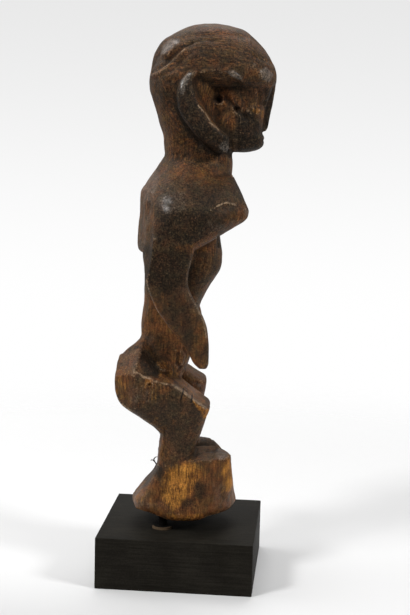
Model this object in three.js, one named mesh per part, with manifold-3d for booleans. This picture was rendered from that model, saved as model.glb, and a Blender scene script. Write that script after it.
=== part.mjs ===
// A carved wooden standing figure on a black wooden plinth, held up by one short mounting pin.
// Millimetres. +X is the way the figure faces, +Y its own left, +Z up.
// The origin is the middle of the plinth's underside.
import * as THREE from "three";
import { mergeVertices } from "three/addons/utils/BufferGeometryUtils.js";
import Module from "manifold-3d";

const wasm = await Module();
wasm.setup();

// Plinth and mounting pin
const PLINTH_SIDE = 75;
const PLINTH_HEIGHT = 25;
const PLINTH_EDGE = 0.5;
const PIN_PLACE = [-7.8, -15.5];
const PIN_RADIUS = 2.1;
const PIN_FOOT_RADIUS = 5.2;
const PIN_FOOT_HEIGHT = 1.2;
const PIN_GAP = 6.5;

// The figure stands turned a little to its left on the plinth.
const FIGURE_TURN = THREE.MathUtils.degToRad(5.5);
const FIGURE_SHIFT = 0.7;
const UNDERSIDE = PLINTH_HEIGHT + PIN_GAP;

// Level sections of each mass, from the bottom up.
// A central mass: height, back, front, half width, squareness (2 is an ellipse, more is boxier).
const FOOT_BLOCK = [
  [UNDERSIDE, -20.5, 20.0, 19.8, 2.0],
  [33.4, -25.0, 24.4, 24.0, 2.0],
  [36.0, -25.6, 25.9, 25.2, 2.05],
  [40.0, -22.8, 25.0, 24.6, 2.2],
  [44.0, -19.2, 24.3, 24.0, 2.4],
  [48.0, -15.6, 23.7, 23.2, 2.6],
  [53.0, -13.0, 22.8, 22.2, 2.8],
  [55.5, -11.0, 21.6, 20.8, 2.8],
];
const TRUNK = [
  [88.0, -17.0, -3.0, 12.0, 2.2],
  [93.0, -21.0, 1.2, 18.0, 2.3],
  [99.0, -23.4, 1.6, 20.0, 2.4],
  [105.0, -24.6, 2.0, 18.4, 2.4],
  [111.0, -24.0, 2.6, 16.6, 2.5],
  [116.5, -22.2, 3.2, 15.0, 2.5],
  [121.0, -22.6, 3.9, 14.2, 2.6],
  [129.0, -22.0, 5.0, 14.0, 2.6],
  [136.0, -21.4, 5.6, 14.4, 2.6],
  [149.0, -20.9, 6.8, 16.0, 2.6],
  [157.0, -21.7, 8.0, 18.0, 2.6],
  [168.0, -23.0, 10.0, 22.0, 2.6],
];
const BELLY = [
  [129.0, -8.0, 4.6, 10.0, 2.4],
  [134.6, -8.0, 6.4, 11.2, 2.4],
  [138.1, -8.0, 8.0, 12.2, 2.4],
  [142.6, -8.0, 10.4, 13.4, 2.4],
  [147.0, -8.0, 13.2, 14.4, 2.4],
  [150.0, -8.0, 14.9, 15.0, 2.4],
  [154.0, -8.0, 15.9, 15.4, 2.4],
  [158.0, -8.0, 16.1, 15.6, 2.4],
  [163.0, -8.0, 15.5, 15.6, 2.4],
  [169.0, -8.0, 14.4, 15.0, 2.4],
];
const YOKE = [
  [158.4, -21.6, 0.6, 28.0, 3.0],
  [160.6, -24.6, 1.6, 31.8, 3.0],
  [163.5, -24.9, 5.0, 33.0, 3.0],
  [168.0, -24.8, 10.0, 33.8, 2.8],
  [173.0, -24.6, 14.0, 34.0, 2.7],
  [178.0, -24.2, 16.5, 33.8, 2.6],
  [183.0, -23.8, 17.5, 32.8, 2.5],
  [187.0, -23.6, 18.0, 31.0, 2.4],
  [190.7, -21.9, 18.5, 28.4, 2.3],
  [194.0, -19.8, 19.0, 25.0, 2.3],
  [197.4, -17.4, 19.6, 21.2, 2.2],
  [200.4, -15.6, 19.8, 18.0, 2.2],
  [203.4, -13.9, 19.6, 16.0, 2.2],
];
const NECK = [
  [194.0, -15.5, 19.4, 17.5, 2.3],
  [200.4, -15.0, 19.8, 16.4, 2.4],
  [205.4, -13.0, 19.4, 15.8, 2.4],
  [210.9, -13.4, 19.8, 15.6, 2.4],
  [217.0, -13.4, 20.0, 15.6, 2.4],
];
const OCCIPUT = [
  [207.0, -13.2, 15.0, 14.8, 2.3],
  [213.8, -13.1, 15.0, 16.2, 2.3],
  [219.4, -15.2, 15.0, 17.4, 2.3],
  [225.0, -17.1, 15.0, 18.4, 2.3],
  [230.7, -19.0, 15.0, 19.4, 2.3],
  [236.2, -20.6, 15.0, 20.4, 2.3],
  [242.0, -20.7, 15.0, 21.2, 2.3],
];
const FACE = [
  [207.4, 2.0, 28.5, 9.8, 3.0],
  [208.6, 2.0, 32.2, 11.8, 3.0],
  [210.9, 2.0, 34.2, 12.8, 3.0],
  [214.3, 2.0, 34.5, 13.6, 3.0],
  [216.2, 2.0, 33.5, 13.8, 3.0],
  [218.5, 2.0, 33.4, 14.0, 3.0],
  [224.0, 2.0, 34.0, 14.4, 3.0],
  [230.0, 2.0, 35.2, 14.8, 3.0],
  [236.0, 2.0, 36.8, 15.4, 2.8],
  [242.0, 2.0, 38.8, 17.0, 2.6],
];
const NOSE = [
  [217.2, 30.0, 35.0, 3.4, 2.6],
  [218.6, 30.0, 35.9, 3.6, 2.6],
  [224.0, 30.0, 36.8, 3.2, 2.4],
  [232.0, 30.0, 38.4, 2.8, 2.4],
  [240.0, 30.0, 39.6, 2.8, 2.4],
];
const CAP = [
  [237.6, -19.8, 37.6, 17.6, 2.4],
  [240.0, -20.3, 39.0, 20.0, 2.4],
  [243.3, -19.9, 39.5, 21.4, 2.4],
  [247.0, -18.8, 38.4, 21.9, 2.3],
  [250.3, -17.6, 36.8, 21.6, 2.3],
  [254.4, -15.6, 34.0, 20.4, 2.2],
  [258.0, -12.6, 30.8, 18.2, 2.2],
  [261.2, -8.2, 27.0, 15.0, 2.1],
  [263.6, -2.8, 22.2, 11.0, 2.1],
  [265.0, 3.0, 17.0, 6.0, 2.0],
];
const CREST = [
  [243.3, -20.6, 39.8, 5.0, 2.6],
  [247.0, -19.9, 38.6, 8.0, 2.6],
  [250.3, -19.2, 37.0, 10.0, 2.6],
  [255.9, -17.0, 33.3, 11.5, 2.6],
  [258.8, -14.6, 30.4, 12.0, 2.6],
  [261.7, -10.6, 27.2, 11.5, 2.6],
  [264.4, -5.4, 22.8, 9.5, 2.5],
  [266.0, -0.4, 17.6, 6.5, 2.4],
  [266.9, 4.6, 12.0, 2.5, 2.2],
];

// A paired mass: height, back, front, inner side, outer side, squareness.
const LEG = [
  [40.0, -14.0, 6.0, 6.0, 17.0, 2.2],
  [47.0, -14.5, 6.0, 5.0, 20.6, 2.4],
  [53.7, -14.0, 5.2, 4.6, 22.2, 2.8],
  [58.0, -12.8, 4.6, 4.8, 22.0, 3.0],
  [63.0, -12.3, 4.7, 4.9, 21.5, 3.2],
  [67.0, -12.0, 5.6, 4.8, 21.5, 3.4],
  [71.0, -12.0, 7.1, 4.6, 22.0, 3.4],
  [75.0, -13.4, 8.4, 4.4, 23.2, 3.4],
  [80.3, -21.2, 10.1, 4.2, 25.2, 3.4],
  [84.4, -27.5, 11.3, 3.9, 26.8, 3.6],
  [87.0, -31.0, 11.8, 3.4, 27.4, 3.8],
  [90.0, -33.0, 8.4, 2.6, 27.8, 3.8],
  [94.0, -34.0, 2.8, 1.6, 28.0, 3.6],
  [98.0, -34.2, -2.2, 1.2, 28.0, 3.4],
  [102.0, -33.6, -7.4, 1.0, 27.6, 3.2],
];
const HIP = [
  [92.0, -33.0, -14.0, 1.6, 27.4, 3.0],
  [98.0, -34.2, -12.0, 1.2, 28.0, 3.2],
  [104.0, -33.6, -12.0, 1.0, 28.0, 3.2],
  [108.4, -31.8, -12.5, 0.8, 27.0, 3.0],
  [111.0, -28.8, -13.0, 0.6, 26.0, 2.8],
  [113.8, -25.4, -13.5, 0.6, 24.0, 2.8],
  [117.2, -21.6, -14.5, 0.6, 21.0, 2.8],
  [119.0, -19.6, -16.0, 0.6, 18.0, 2.6],
];
const RIGHT_FOOT = [
  [40.0, -13.0, 22.0, 6.0, 19.5, 2.2],
  [46.0, -13.0, 23.2, 5.0, 21.8, 2.4],
  [52.0, -12.0, 23.0, 4.7, 22.4, 2.7],
  [56.0, -11.0, 22.7, 4.8, 22.4, 2.8],
  [60.0, -9.0, 21.9, 5.4, 21.8, 3.0],
  [61.8, -7.0, 20.4, 6.6, 20.6, 3.0],
];
const LEFT_FOOT = [
  [40.0, -13.0, 22.0, 6.0, 19.5, 2.2],
  [47.0, -13.0, 23.0, 4.8, 21.8, 2.4],
  [54.0, -11.0, 22.2, 4.8, 22.2, 2.5],
  [58.2, -9.0, 19.6, 5.4, 21.6, 2.4],
  [60.8, -7.0, 15.8, 6.6, 20.0, 2.4],
];
const BREAST = [
  [161.0, -19.0, 2.6, 6.0, 31.0, 2.6],
  [163.5, -20.0, 7.6, 4.6, 32.4, 2.3],
  [168.0, -21.0, 14.6, 3.4, 33.4, 2.0],
  [172.6, -22.0, 21.2, 2.6, 33.6, 1.8],
  [175.4, -22.0, 25.2, 2.4, 33.6, 1.7],
  [178.0, -22.0, 27.3, 2.4, 33.4, 1.65],
  [180.4, -22.0, 27.7, 2.4, 33.0, 1.65],
  [183.0, -22.0, 26.5, 2.4, 32.2, 1.7],
  [187.0, -21.0, 24.8, 2.2, 30.4, 1.8],
  [191.0, -19.0, 22.7, 1.8, 27.6, 2.0],
  [196.0, -16.0, 20.0, 1.4, 21.4, 2.2],
];
const ARM = [
  [106.8, 4.8, 8.8, 25.4, 29.2, 2.4],
  [109.2, 3.0, 9.8, 24.8, 30.0, 2.8],
  [113.0, 1.2, 10.3, 24.4, 30.6, 3.2],
  [118.0, -2.0, 10.0, 24.0, 31.2, 3.4],
  [124.0, -7.2, 9.0, 23.8, 31.6, 3.4],
  [130.0, -11.6, 7.7, 23.6, 31.9, 3.4],
  [136.0, -15.8, 4.4, 23.4, 32.1, 3.4],
  [141.7, -18.2, 1.3, 23.2, 32.3, 3.4],
  [147.0, -19.6, -0.4, 23.0, 32.5, 3.2],
  [152.0, -20.4, 0.0, 22.6, 32.7, 3.2],
  [157.0, -20.8, 1.2, 22.0, 33.0, 3.2],
  [162.0, -21.2, 2.6, 20.0, 33.2, 3.0],
  [168.0, -22.0, 6.0, 17.0, 33.2, 3.0],
];

const EAR = [
  [207.4, 11.6, 16.4, 13.0, 22.4, 2.6],
  [210.3, 8.2, 17.4, 12.6, 23.6, 2.8],
  [213.9, 4.2, 17.2, 12.2, 24.4, 3.0],
  [218.3, 0.4, 12.4, 12.0, 25.0, 3.2],
  [222.8, -2.9, 8.3, 12.0, 25.4, 3.2],
  [228.2, -5.3, 4.6, 12.0, 25.4, 3.2],
  [233.6, -5.9, 1.4, 12.0, 25.0, 3.2],
  [238.1, -5.1, -0.5, 12.0, 24.2, 3.2],
  [241.8, -3.4, 0.6, 12.0, 23.0, 3.0],
  [244.6, -1.4, 2.4, 12.0, 21.6, 2.8],
];

// Drilled and cut details of the face
const TEMPLE_HOLE = { x: 11.2, z: 231.8, radius: 1.2, depth: 4 };
const CHEEK_HOLE = { x: 19.6, z: 227.4, radius: 0.8, depth: 3 };
const EYE = { z: 230.5, across: 7.4, width: 5.2, height: 2.2, depth: 2.4 };
const MOUTH = { z: 212.2, width: 10, height: 1.3, depth: 2 };

// The left knee, hip and arm against the right ones
const KNEE_HEIGHT = 88;
const KNEE_REACH = 26;
const LEFT_KNEE_LIFT = 6;
const LEFT_KNEE_SET_BACK = 1.8;
const LEFT_HIP_DROP = 4.4;
const LEFT_ARM_SET_BACK = 2.6;

// Facets cut with a broad blade, given for the left side: a point on each and the way it faces
const LAP_FACET = { on: [-4, 27, 95.4], facing: [0.41, 0.3, 0.86] };
const HIP_FACET = { on: [-24.5, 27, 104], facing: [-0.55, 0.51, 0.66] };
const GROIN_FACET = { on: [-24.5, 27, 104], facing: [0.43, 0.67, 0.6] };
const BACK_FACET = { on: [-17.8, 27, 176], facing: [-0.92, 0.38, 0.1] };
const BREAST_FACET = { on: [23.3, 22, 175.4], facing: [0.53, 0.12, -0.84] };

const ROUND_SIDES = 24;
const PAIR_SIDES = 20;
const WELD = 1e-3;

// Joins and cuts on closed geometries
function toSolid(geometry) {
  const bare = geometry.clone();
  bare.deleteAttribute("normal");
  bare.deleteAttribute("uv");
  const merged = mergeVertices(bare, WELD);
  const mesh = new wasm.Mesh({
    numProp: 3,
    vertProperties: new Float32Array(merged.attributes.position.array),
    triVerts: new Uint32Array(merged.index.array),
  });
  return new wasm.Manifold(mesh);
}

function toGeometry(solid) {
  const mesh = solid.getMesh();
  const geometry = new THREE.BufferGeometry();
  geometry.setAttribute("position", new THREE.BufferAttribute(mesh.vertProperties, 3));
  geometry.setIndex(new THREE.BufferAttribute(mesh.triVerts, 1));
  geometry.computeVertexNormals();
  return geometry;
}

function joinAll(solids) {
  return solids.reduce((whole, next) => whole.add(next));
}

// One coordinate of a superellipse: the sine or cosine is bent towards a square corner.
function bent(value, squareness) {
  return Math.sign(value) * Math.abs(value) ** (2 / squareness);
}

// A mass built up of level sections: each ring of a cylinder is moved out to its own superellipse.
function stack(sections, sides) {
  const rings = sections.length - 1;
  const geometry = new THREE.CylinderGeometry(1, 1, rings, sides, rings);
  geometry.rotateX(Math.PI / 2);
  const points = geometry.attributes.position;
  for (let i = 0; i < points.count; i += 1) {
    const ring = Math.round(points.getZ(i) + rings / 2);
    const [z, back, front, right, left, squareness] = sections[ring];
    const radius = Math.hypot(points.getX(i), points.getY(i));
    const angle = Math.atan2(points.getY(i), points.getX(i));
    const x = (back + front) / 2 + (radius * (front - back) * bent(Math.cos(angle), squareness)) / 2;
    const y = (right + left) / 2 + (radius * (left - right) * bent(Math.sin(angle), squareness)) / 2;
    points.setXYZ(i, x, y, z);
  }
  return toSolid(geometry);
}

function centralMass(sections) {
  const full = sections.map(([z, back, front, half, squareness]) => [z, back, front, -half, half, squareness]);
  return stack(full, ROUND_SIDES);
}

// A mass on the figure's right: the sections as listed, with the sides turned to minus y.
function rightMass(sections) {
  const mirrored = sections.map(([z, back, front, inner, outer, squareness]) => [
    z, back, front, -outer, -inner, squareness,
  ]);
  return stack(mirrored, PAIR_SIDES);
}

function leftMass(sections) {
  return stack(sections, PAIR_SIDES);
}

function pairedMass(sections) {
  return [rightMass(sections), leftMass(sections)];
}

// The left knee is carved a little higher and further back than the right one.
function liftedKnee(sections) {
  return sections.map(([z, back, front, ...rest]) => {
    const near = Math.max(0, 1 - Math.abs(z - KNEE_HEIGHT) / KNEE_REACH);
    return [z + near * LEFT_KNEE_LIFT, back, front - near * LEFT_KNEE_SET_BACK, ...rest];
  });
}

// A block in its place, for cuts
function block(size, place) {
  const geometry = new THREE.BoxGeometry(...size);
  geometry.translate(...place);
  return toSolid(geometry);
}

// Everything beyond a facet's plane; side -1 turns the plane over to the right, and lift raises it.
function beyond({ on, facing }, side, lift) {
  const size = 120;
  const geometry = new THREE.BoxGeometry(size, size, size);
  geometry.translate(0, 0, size / 2);
  const outward = new THREE.Vector3(facing[0], side * facing[1], facing[2]).normalize();
  geometry.applyQuaternion(new THREE.Quaternion().setFromUnitVectors(new THREE.Vector3(0, 0, 1), outward));
  geometry.translate(on[0], side * on[1], on[2] + lift);
  return toSolid(geometry);
}

function planed(solid, facets, side, lift = 0) {
  return facets.reduce((rest, facet) => rest.subtract(beyond(facet, side, lift)), solid);
}

// A drilled hole across the side of the face
function sideHole({ x, z, radius, depth }, side) {
  const surface = 15;
  const geometry = new THREE.CylinderGeometry(radius, radius * 0.6, depth * 2, 10);
  if (side > 0) geometry.rotateX(Math.PI);
  geometry.rotateX(Math.PI / 2);
  geometry.translate(x, side * surface, z);
  return toSolid(geometry);
}

function head() {
  const sides = [-1, 1];
  const added = [
    centralMass(NECK),
    centralMass(OCCIPUT),
    centralMass(FACE),
    centralMass(CAP),
    centralMass(CREST),
    centralMass(NOSE),
    ...pairedMass(EAR),
  ];
  const cuts = [
    ...sides.map((side) => sideHole(TEMPLE_HOLE, side)),
    ...sides.map((side) => sideHole(CHEEK_HOLE, side)),
    ...sides.map((side) => block([EYE.depth * 2, EYE.width, EYE.height], [34.8, side * EYE.across, EYE.z])),
    block([MOUTH.depth * 2, MOUTH.width, MOUTH.height], [34.2, 0, MOUTH.z]),
  ];
  return cuts.reduce((whole, cut) => whole.subtract(cut), joinAll(added));
}

function body() {
  const leftArm = ARM.map(([z, back, front, ...rest]) => [
    z, back - LEFT_ARM_SET_BACK, front - LEFT_ARM_SET_BACK, ...rest,
  ]);
  return joinAll([
    centralMass(TRUNK),
    centralMass(BELLY),
    planed(planed(centralMass(YOKE), [BACK_FACET], -1), [BACK_FACET], 1),
    planed(rightMass(BREAST), [BREAST_FACET], -1),
    planed(leftMass(BREAST), [BREAST_FACET], 1),
    planed(rightMass(ARM), [BACK_FACET], -1),
    planed(leftMass(leftArm), [BACK_FACET], 1),
  ]);
}

function legsAndFeet() {
  const leftLeg = planed(leftMass(liftedKnee(LEG)), [LAP_FACET], 1, LEFT_KNEE_LIFT);
  const leftHip = planed(leftMass(HIP), [HIP_FACET, GROIN_FACET], 1);
  return joinAll([
    centralMass(FOOT_BLOCK),
    rightMass(RIGHT_FOOT),
    leftMass(LEFT_FOOT),
    planed(rightMass(LEG), [LAP_FACET, HIP_FACET], -1),
    planed(leftLeg, [HIP_FACET], 1, -LEFT_HIP_DROP),
    planed(rightMass(HIP), [HIP_FACET, GROIN_FACET], -1),
    leftHip.translate([0, 0, -LEFT_HIP_DROP]),
  ]);
}

function plinth() {
  const half = PLINTH_SIDE / 2 - PLINTH_EDGE;
  const outline = new THREE.Shape([
    new THREE.Vector2(-half, -half),
    new THREE.Vector2(half, -half),
    new THREE.Vector2(half, half),
    new THREE.Vector2(-half, half),
  ]);
  const geometry = new THREE.ExtrudeGeometry(outline, {
    depth: PLINTH_HEIGHT - 2 * PLINTH_EDGE,
    bevelThickness: PLINTH_EDGE,
    bevelSize: PLINTH_EDGE,
    bevelSegments: 2,
  });
  geometry.translate(0, 0, PLINTH_EDGE);
  return geometry;
}

function mountPin() {
  const profile = [
    [0, 0],
    [PIN_FOOT_RADIUS, 0],
    [PIN_FOOT_RADIUS, PIN_FOOT_HEIGHT],
    [PIN_RADIUS, PIN_FOOT_HEIGHT],
    [PIN_RADIUS, PIN_GAP],
    [0, PIN_GAP],
  ];
  const geometry = new THREE.LatheGeometry(profile.map(([r, z]) => new THREE.Vector2(r, z)), 24);
  geometry.rotateX(Math.PI / 2);
  return geometry;
}

const darkWood = new THREE.MeshStandardMaterial({ color: 0x3a2619, roughness: 0.5, metalness: 0 });
const blackWood = new THREE.MeshStandardMaterial({ color: 0x16130f, roughness: 0.65, metalness: 0 });
const brass = new THREE.MeshStandardMaterial({ color: 0x8a6a3a, roughness: 0.4, metalness: 1 });

const part = new THREE.Group();

const plinthMesh = new THREE.Mesh(plinth(), blackWood);
plinthMesh.name = "plinth";
part.add(plinthMesh);

const pinMesh = new THREE.Mesh(mountPin(), brass);
pinMesh.name = "mount_pin";
pinMesh.position.set(...PIN_PLACE, PLINTH_HEIGHT);
part.add(pinMesh);

const turned = new THREE.Group();
turned.rotation.z = FIGURE_TURN;
turned.position.x = FIGURE_SHIFT;
part.add(turned);

const figureMesh = new THREE.Mesh(toGeometry(joinAll([legsAndFeet(), body(), head()])), darkWood);
figureMesh.name = "figure";
turned.add(figureMesh);

export default part;
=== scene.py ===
"""The carved figure on its black plinth: finely carved skin, worn patina and soft studio light.

Lengths of the carving are in millimetres in the figure's own frame, x forward, y to its left, z up from
the plinth's underside; MM turns them into metres.
"""
import math

import bmesh
import bpy
import numpy as np
from mathutils import Matrix, Vector


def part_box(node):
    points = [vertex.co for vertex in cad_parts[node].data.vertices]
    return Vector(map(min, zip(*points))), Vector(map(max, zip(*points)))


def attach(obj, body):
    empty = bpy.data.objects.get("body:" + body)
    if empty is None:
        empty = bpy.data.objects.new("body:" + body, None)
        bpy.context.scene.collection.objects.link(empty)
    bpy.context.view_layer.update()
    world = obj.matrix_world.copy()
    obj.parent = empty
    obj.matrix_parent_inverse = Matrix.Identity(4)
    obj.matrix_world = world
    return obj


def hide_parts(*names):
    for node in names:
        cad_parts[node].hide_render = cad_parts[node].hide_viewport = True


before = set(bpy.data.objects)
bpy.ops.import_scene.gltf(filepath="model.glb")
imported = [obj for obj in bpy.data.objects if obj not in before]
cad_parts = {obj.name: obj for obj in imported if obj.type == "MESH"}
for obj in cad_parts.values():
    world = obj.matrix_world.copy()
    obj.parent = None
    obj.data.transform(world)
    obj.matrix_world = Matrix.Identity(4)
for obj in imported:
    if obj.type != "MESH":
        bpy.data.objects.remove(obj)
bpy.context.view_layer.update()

MM = 0.001
PLINTH_ROUNDING = 0.35
SCENE = bpy.context.scene

# How the figure stands on the plinth
FIGURE_TURN = math.radians(5.5)
FIGURE_SHIFT = 0.7
UNDERSIDE = 31.5

# The pin's middle on the plinth, x and y
PIN_PLACE = (-7.8, -15.5)

# The camera: its place in millimetres, where it looks, how it leans, and its lens for a frame 36 wide
CAMERA_PLACE = (64.26, -645.32, 229.43)
CAMERA_FORWARD = (-0.08446, 0.98517, -0.14936)
CAMERA_UP = (-0.03727, 0.14667, 0.98848)
CAMERA_LENS = 78.88
CAMERA_FRAME = 36.0


def set_camera():
    """Puts the camera where the photograph was taken from."""
    data = bpy.data.cameras.new("camera")
    data.lens = CAMERA_LENS
    data.sensor_width = CAMERA_FRAME
    data.clip_start = 0.02
    camera = bpy.data.objects.new("camera", data)
    SCENE.collection.objects.link(camera)
    forward = Vector(CAMERA_FORWARD).normalized()
    up = Vector(CAMERA_UP).normalized()
    right = forward.cross(up)
    turn = Matrix((right, up, -forward)).transposed()
    camera.matrix_world = Matrix.Translation(Vector(CAMERA_PLACE) * MM) @ turn.to_4x4()
    SCENE.camera = camera


# Level sections of the masses, from the bottom up.
# Central: height, back, front, half width, squareness (2 is an ellipse, more is boxier).
FOOT_BLOCK = [
    (UNDERSIDE, -20.5, 20.0, 19.8, 2.0),
    (33.4, -25.0, 24.4, 24.0, 2.0),
    (36.0, -25.6, 25.9, 25.2, 2.05),
    (40.0, -22.6, 25.0, 24.6, 2.2),
    (44.0, -18.6, 24.3, 24.0, 2.4),
    (48.0, -15.4, 23.9, 23.2, 2.9),
    (53.0, -12.0, 23.2, 22.4, 3.1),
    (56.5, -10.8, 21.6, 21.0, 3.1),
]
HEEL = [
    (34.0, -24.2, 0.0, 20.5, 2.6),
    (38.0, -23.8, 0.0, 21.0, 3.2),
    (41.0, -21.8, 0.0, 20.8, 4.0),
    (43.8, -19.3, 0.0, 20.6, 4.4),
    (46.6, -17.1, 0.0, 20.4, 4.6),
    (50.5, -14.9, 0.0, 20.2, 4.6),
    (53.6, -13.0, 0.0, 20.0, 4.2),
    (57.5, -12.3, 2.0, 19.6, 3.4),
]
TRUNK = [
    (88.0, -17.0, -3.0, 11.0, 2.2),
    (93.0, -21.0, -4.0, 14.0, 2.6),
    (99.0, -23.4, -1.6, 14.6, 2.8),
    (105.0, -24.4, 0.8, 14.4, 3.0),
    (111.0, -23.8, 2.6, 14.6, 3.0),
    (116.5, -22.4, 3.2, 14.4, 2.8),
    (121.0, -22.6, 3.9, 14.2, 2.6),
    (129.0, -22.0, 5.0, 14.0, 2.6),
    (136.0, -21.4, 5.6, 14.4, 2.6),
    (149.0, -21.5, 6.8, 16.0, 2.6),
    (157.0, -22.4, 8.0, 18.0, 2.6),
    (168.0, -23.0, 10.0, 22.0, 2.6),
]
BELLY = [
    (129.0, -8.0, 4.6, 10.0, 2.4),
    (134.6, -8.0, 6.4, 11.2, 2.4),
    (138.1, -8.0, 8.0, 12.2, 2.4),
    (142.6, -8.0, 10.4, 13.4, 2.4),
    (147.0, -8.0, 13.2, 14.4, 2.4),
    (150.0, -8.0, 14.9, 15.0, 2.4),
    (154.0, -8.0, 15.9, 15.4, 2.4),
    (158.0, -8.0, 16.1, 15.6, 2.4),
    (163.0, -8.0, 15.5, 15.6, 2.4),
    (169.0, -8.0, 14.4, 15.0, 2.4),
]
YOKE = [
    (159.3, -22.0, 0.6, 28.0, 3.0),
    (160.8, -24.4, 1.6, 31.8, 3.4),
    (163.5, -24.8, 5.0, 33.0, 3.2),
    (168.0, -24.8, 10.0, 33.8, 2.8),
    (173.0, -24.6, 14.0, 34.0, 2.7),
    (178.0, -24.2, 16.5, 33.8, 2.6),
    (183.0, -24.2, 18.2, 32.8, 2.5),
    (187.0, -24.1, 19.0, 31.0, 2.4),
    (190.7, -21.9, 18.5, 28.4, 2.3),
    (194.0, -19.8, 19.0, 25.0, 2.3),
    (197.4, -17.4, 19.6, 21.2, 2.2),
    (200.4, -15.6, 19.8, 18.0, 2.2),
    (203.4, -13.9, 19.6, 16.0, 2.2),
]
NECK = [
    (194.0, -15.5, 19.4, 17.5, 2.3),
    (200.4, -15.0, 19.8, 16.4, 2.4),
    (205.4, -13.0, 19.4, 15.8, 2.4),
    (210.9, -13.4, 19.8, 15.6, 2.4),
    (217.0, -13.4, 20.0, 15.6, 2.4),
]
OCCIPUT = [
    (207.0, -13.2, 15.0, 14.8, 2.3),
    (213.8, -13.6, 15.0, 16.2, 2.3),
    (219.4, -15.6, 15.0, 17.4, 2.3),
    (225.0, -17.1, 15.0, 18.4, 2.3),
    (230.7, -19.0, 15.0, 19.4, 2.3),
    (236.2, -20.6, 15.0, 20.4, 2.3),
    (242.0, -20.7, 15.0, 21.2, 2.3),
    (246.0, -19.2, 15.0, 20.0, 2.3),
    (250.0, -17.2, 15.0, 18.0, 2.3),
    (254.0, -14.0, 15.0, 15.0, 2.3),
    (257.0, -10.0, 14.0, 11.0, 2.2),
]
FACE = [
    (207.23, 2.0, 27.3, 9.8, 3.0),
    (208.6, 2.0, 32.0, 11.8, 3.0),
    (210.9, 2.0, 34.2, 12.8, 3.0),
    (214.3, 2.0, 34.5, 13.6, 3.0),
    (216.2, 2.0, 33.5, 13.8, 3.0),
    (218.5, 2.0, 33.4, 14.0, 3.0),
    (224.0, 2.0, 34.0, 14.4, 3.0),
    (230.0, 2.0, 35.2, 14.8, 3.0),
    (236.0, 2.0, 37.4, 15.4, 2.8),
    (242.0, 2.0, 39.3, 17.0, 2.6),
]
NOSE = [
    (217.2, 30.0, 35.0, 3.4, 2.6),
    (218.6, 30.0, 35.9, 3.6, 2.6),
    (224.0, 30.0, 36.8, 3.2, 2.4),
    (232.0, 30.0, 38.4, 2.8, 2.4),
    (240.0, 30.0, 39.4, 2.8, 2.4),
]
CAP = [
    (237.6, -19.8, 37.6, 17.6, 2.4),
    (240.0, -20.3, 39.5, 20.0, 2.4),
    (243.3, -19.9, 39.6, 21.4, 2.4),
    (247.0, -18.8, 38.8, 21.9, 2.3),
    (250.3, -17.6, 36.8, 21.6, 2.3),
    (254.4, -15.6, 34.0, 20.4, 2.2),
    (258.0, -12.6, 30.8, 18.2, 2.2),
    (261.2, -8.2, 27.0, 15.0, 2.1),
    (263.6, -2.8, 22.2, 11.0, 2.1),
    (265.0, 3.0, 17.0, 6.0, 2.0),
]
CREST = [
    (243.3, -20.6, 39.6, 7.0, 2.4),
    (247.0, -19.9, 38.6, 11.0, 2.3),
    (250.3, -19.2, 37.0, 13.5, 2.2),
    (255.9, -17.0, 33.3, 15.5, 2.1),
    (258.8, -14.6, 30.4, 16.0, 2.0),
    (261.7, -9.9, 27.2, 15.0, 2.0),
    (264.4, -4.6, 23.2, 12.0, 2.0),
    (266.0, -0.4, 17.6, 8.0, 2.0),
    (266.9, 4.6, 12.0, 3.2, 2.0),
]

# Paired: height, back, front, inner side, outer side, squareness.
LEG = [
    (40.0, -8.0, 6.0, 6.0, 15.0, 2.2),
    (47.0, -10.0, 6.0, 5.0, 18.0, 2.4),
    (53.7, -12.8, 5.2, 4.6, 21.2, 2.8),
    (58.0, -13.4, 4.6, 4.8, 21.8, 3.0),
    (63.0, -12.9, 4.7, 4.9, 21.5, 3.2),
    (67.0, -12.0, 5.6, 4.8, 21.5, 3.4),
    (71.0, -12.0, 7.1, 4.6, 22.0, 3.4),
    (75.0, -14.6, 8.4, 4.4, 23.2, 3.4),
    (80.3, -21.8, 10.1, 4.2, 25.2, 3.4),
    (84.4, -27.5, 11.3, 3.9, 26.8, 4.0),
    (87.0, -31.0, 11.8, 3.4, 27.4, 4.6),
    (90.0, -33.0, 8.4, 2.6, 27.8, 5.0),
    (94.0, -34.0, 2.8, 1.6, 28.0, 5.0),
    (98.0, -34.2, -2.2, 1.2, 28.0, 5.0),
    (102.0, -33.9, -7.4, 1.0, 27.6, 4.6),
    (104.2, -33.4, -12.0, 1.0, 27.2, 4.0),
]
HIP = [
    (92.0, -33.0, -12.0, 1.6, 27.4, 3.0),
    (98.0, -34.2, -8.0, 1.2, 28.0, 3.2),
    (103.0, -33.8, -6.4, 1.0, 28.0, 3.2),
    (106.0, -33.5, -6.6, 0.8, 27.6, 3.0),
    (108.2, -32.5, -7.4, 0.8, 27.0, 2.9),
    (110.2, -30.9, -8.4, 0.6, 26.0, 2.8),
    (112.4, -28.5, -9.8, 0.6, 24.6, 2.7),
    (115.0, -25.0, -11.6, 0.6, 22.0, 2.5),
    (118.6, -21.0, -14.5, 0.6, 17.0, 2.3),
]
RIGHT_FOOT = [
    (40.0, -13.0, 22.0, 6.0, 19.5, 2.2),
    (46.0, -13.0, 23.2, 5.0, 21.8, 2.4),
    (52.0, -12.0, 23.0, 4.7, 22.4, 2.7),
    (56.0, -11.0, 22.7, 4.8, 22.4, 2.8),
    (60.0, -9.0, 22.4, 5.8, 21.9, 3.4),
    (63.0, -8.0, 22.2, 6.4, 21.5, 3.4),
    (66.0, -7.0, 21.2, 7.0, 20.8, 3.4),
]
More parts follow.
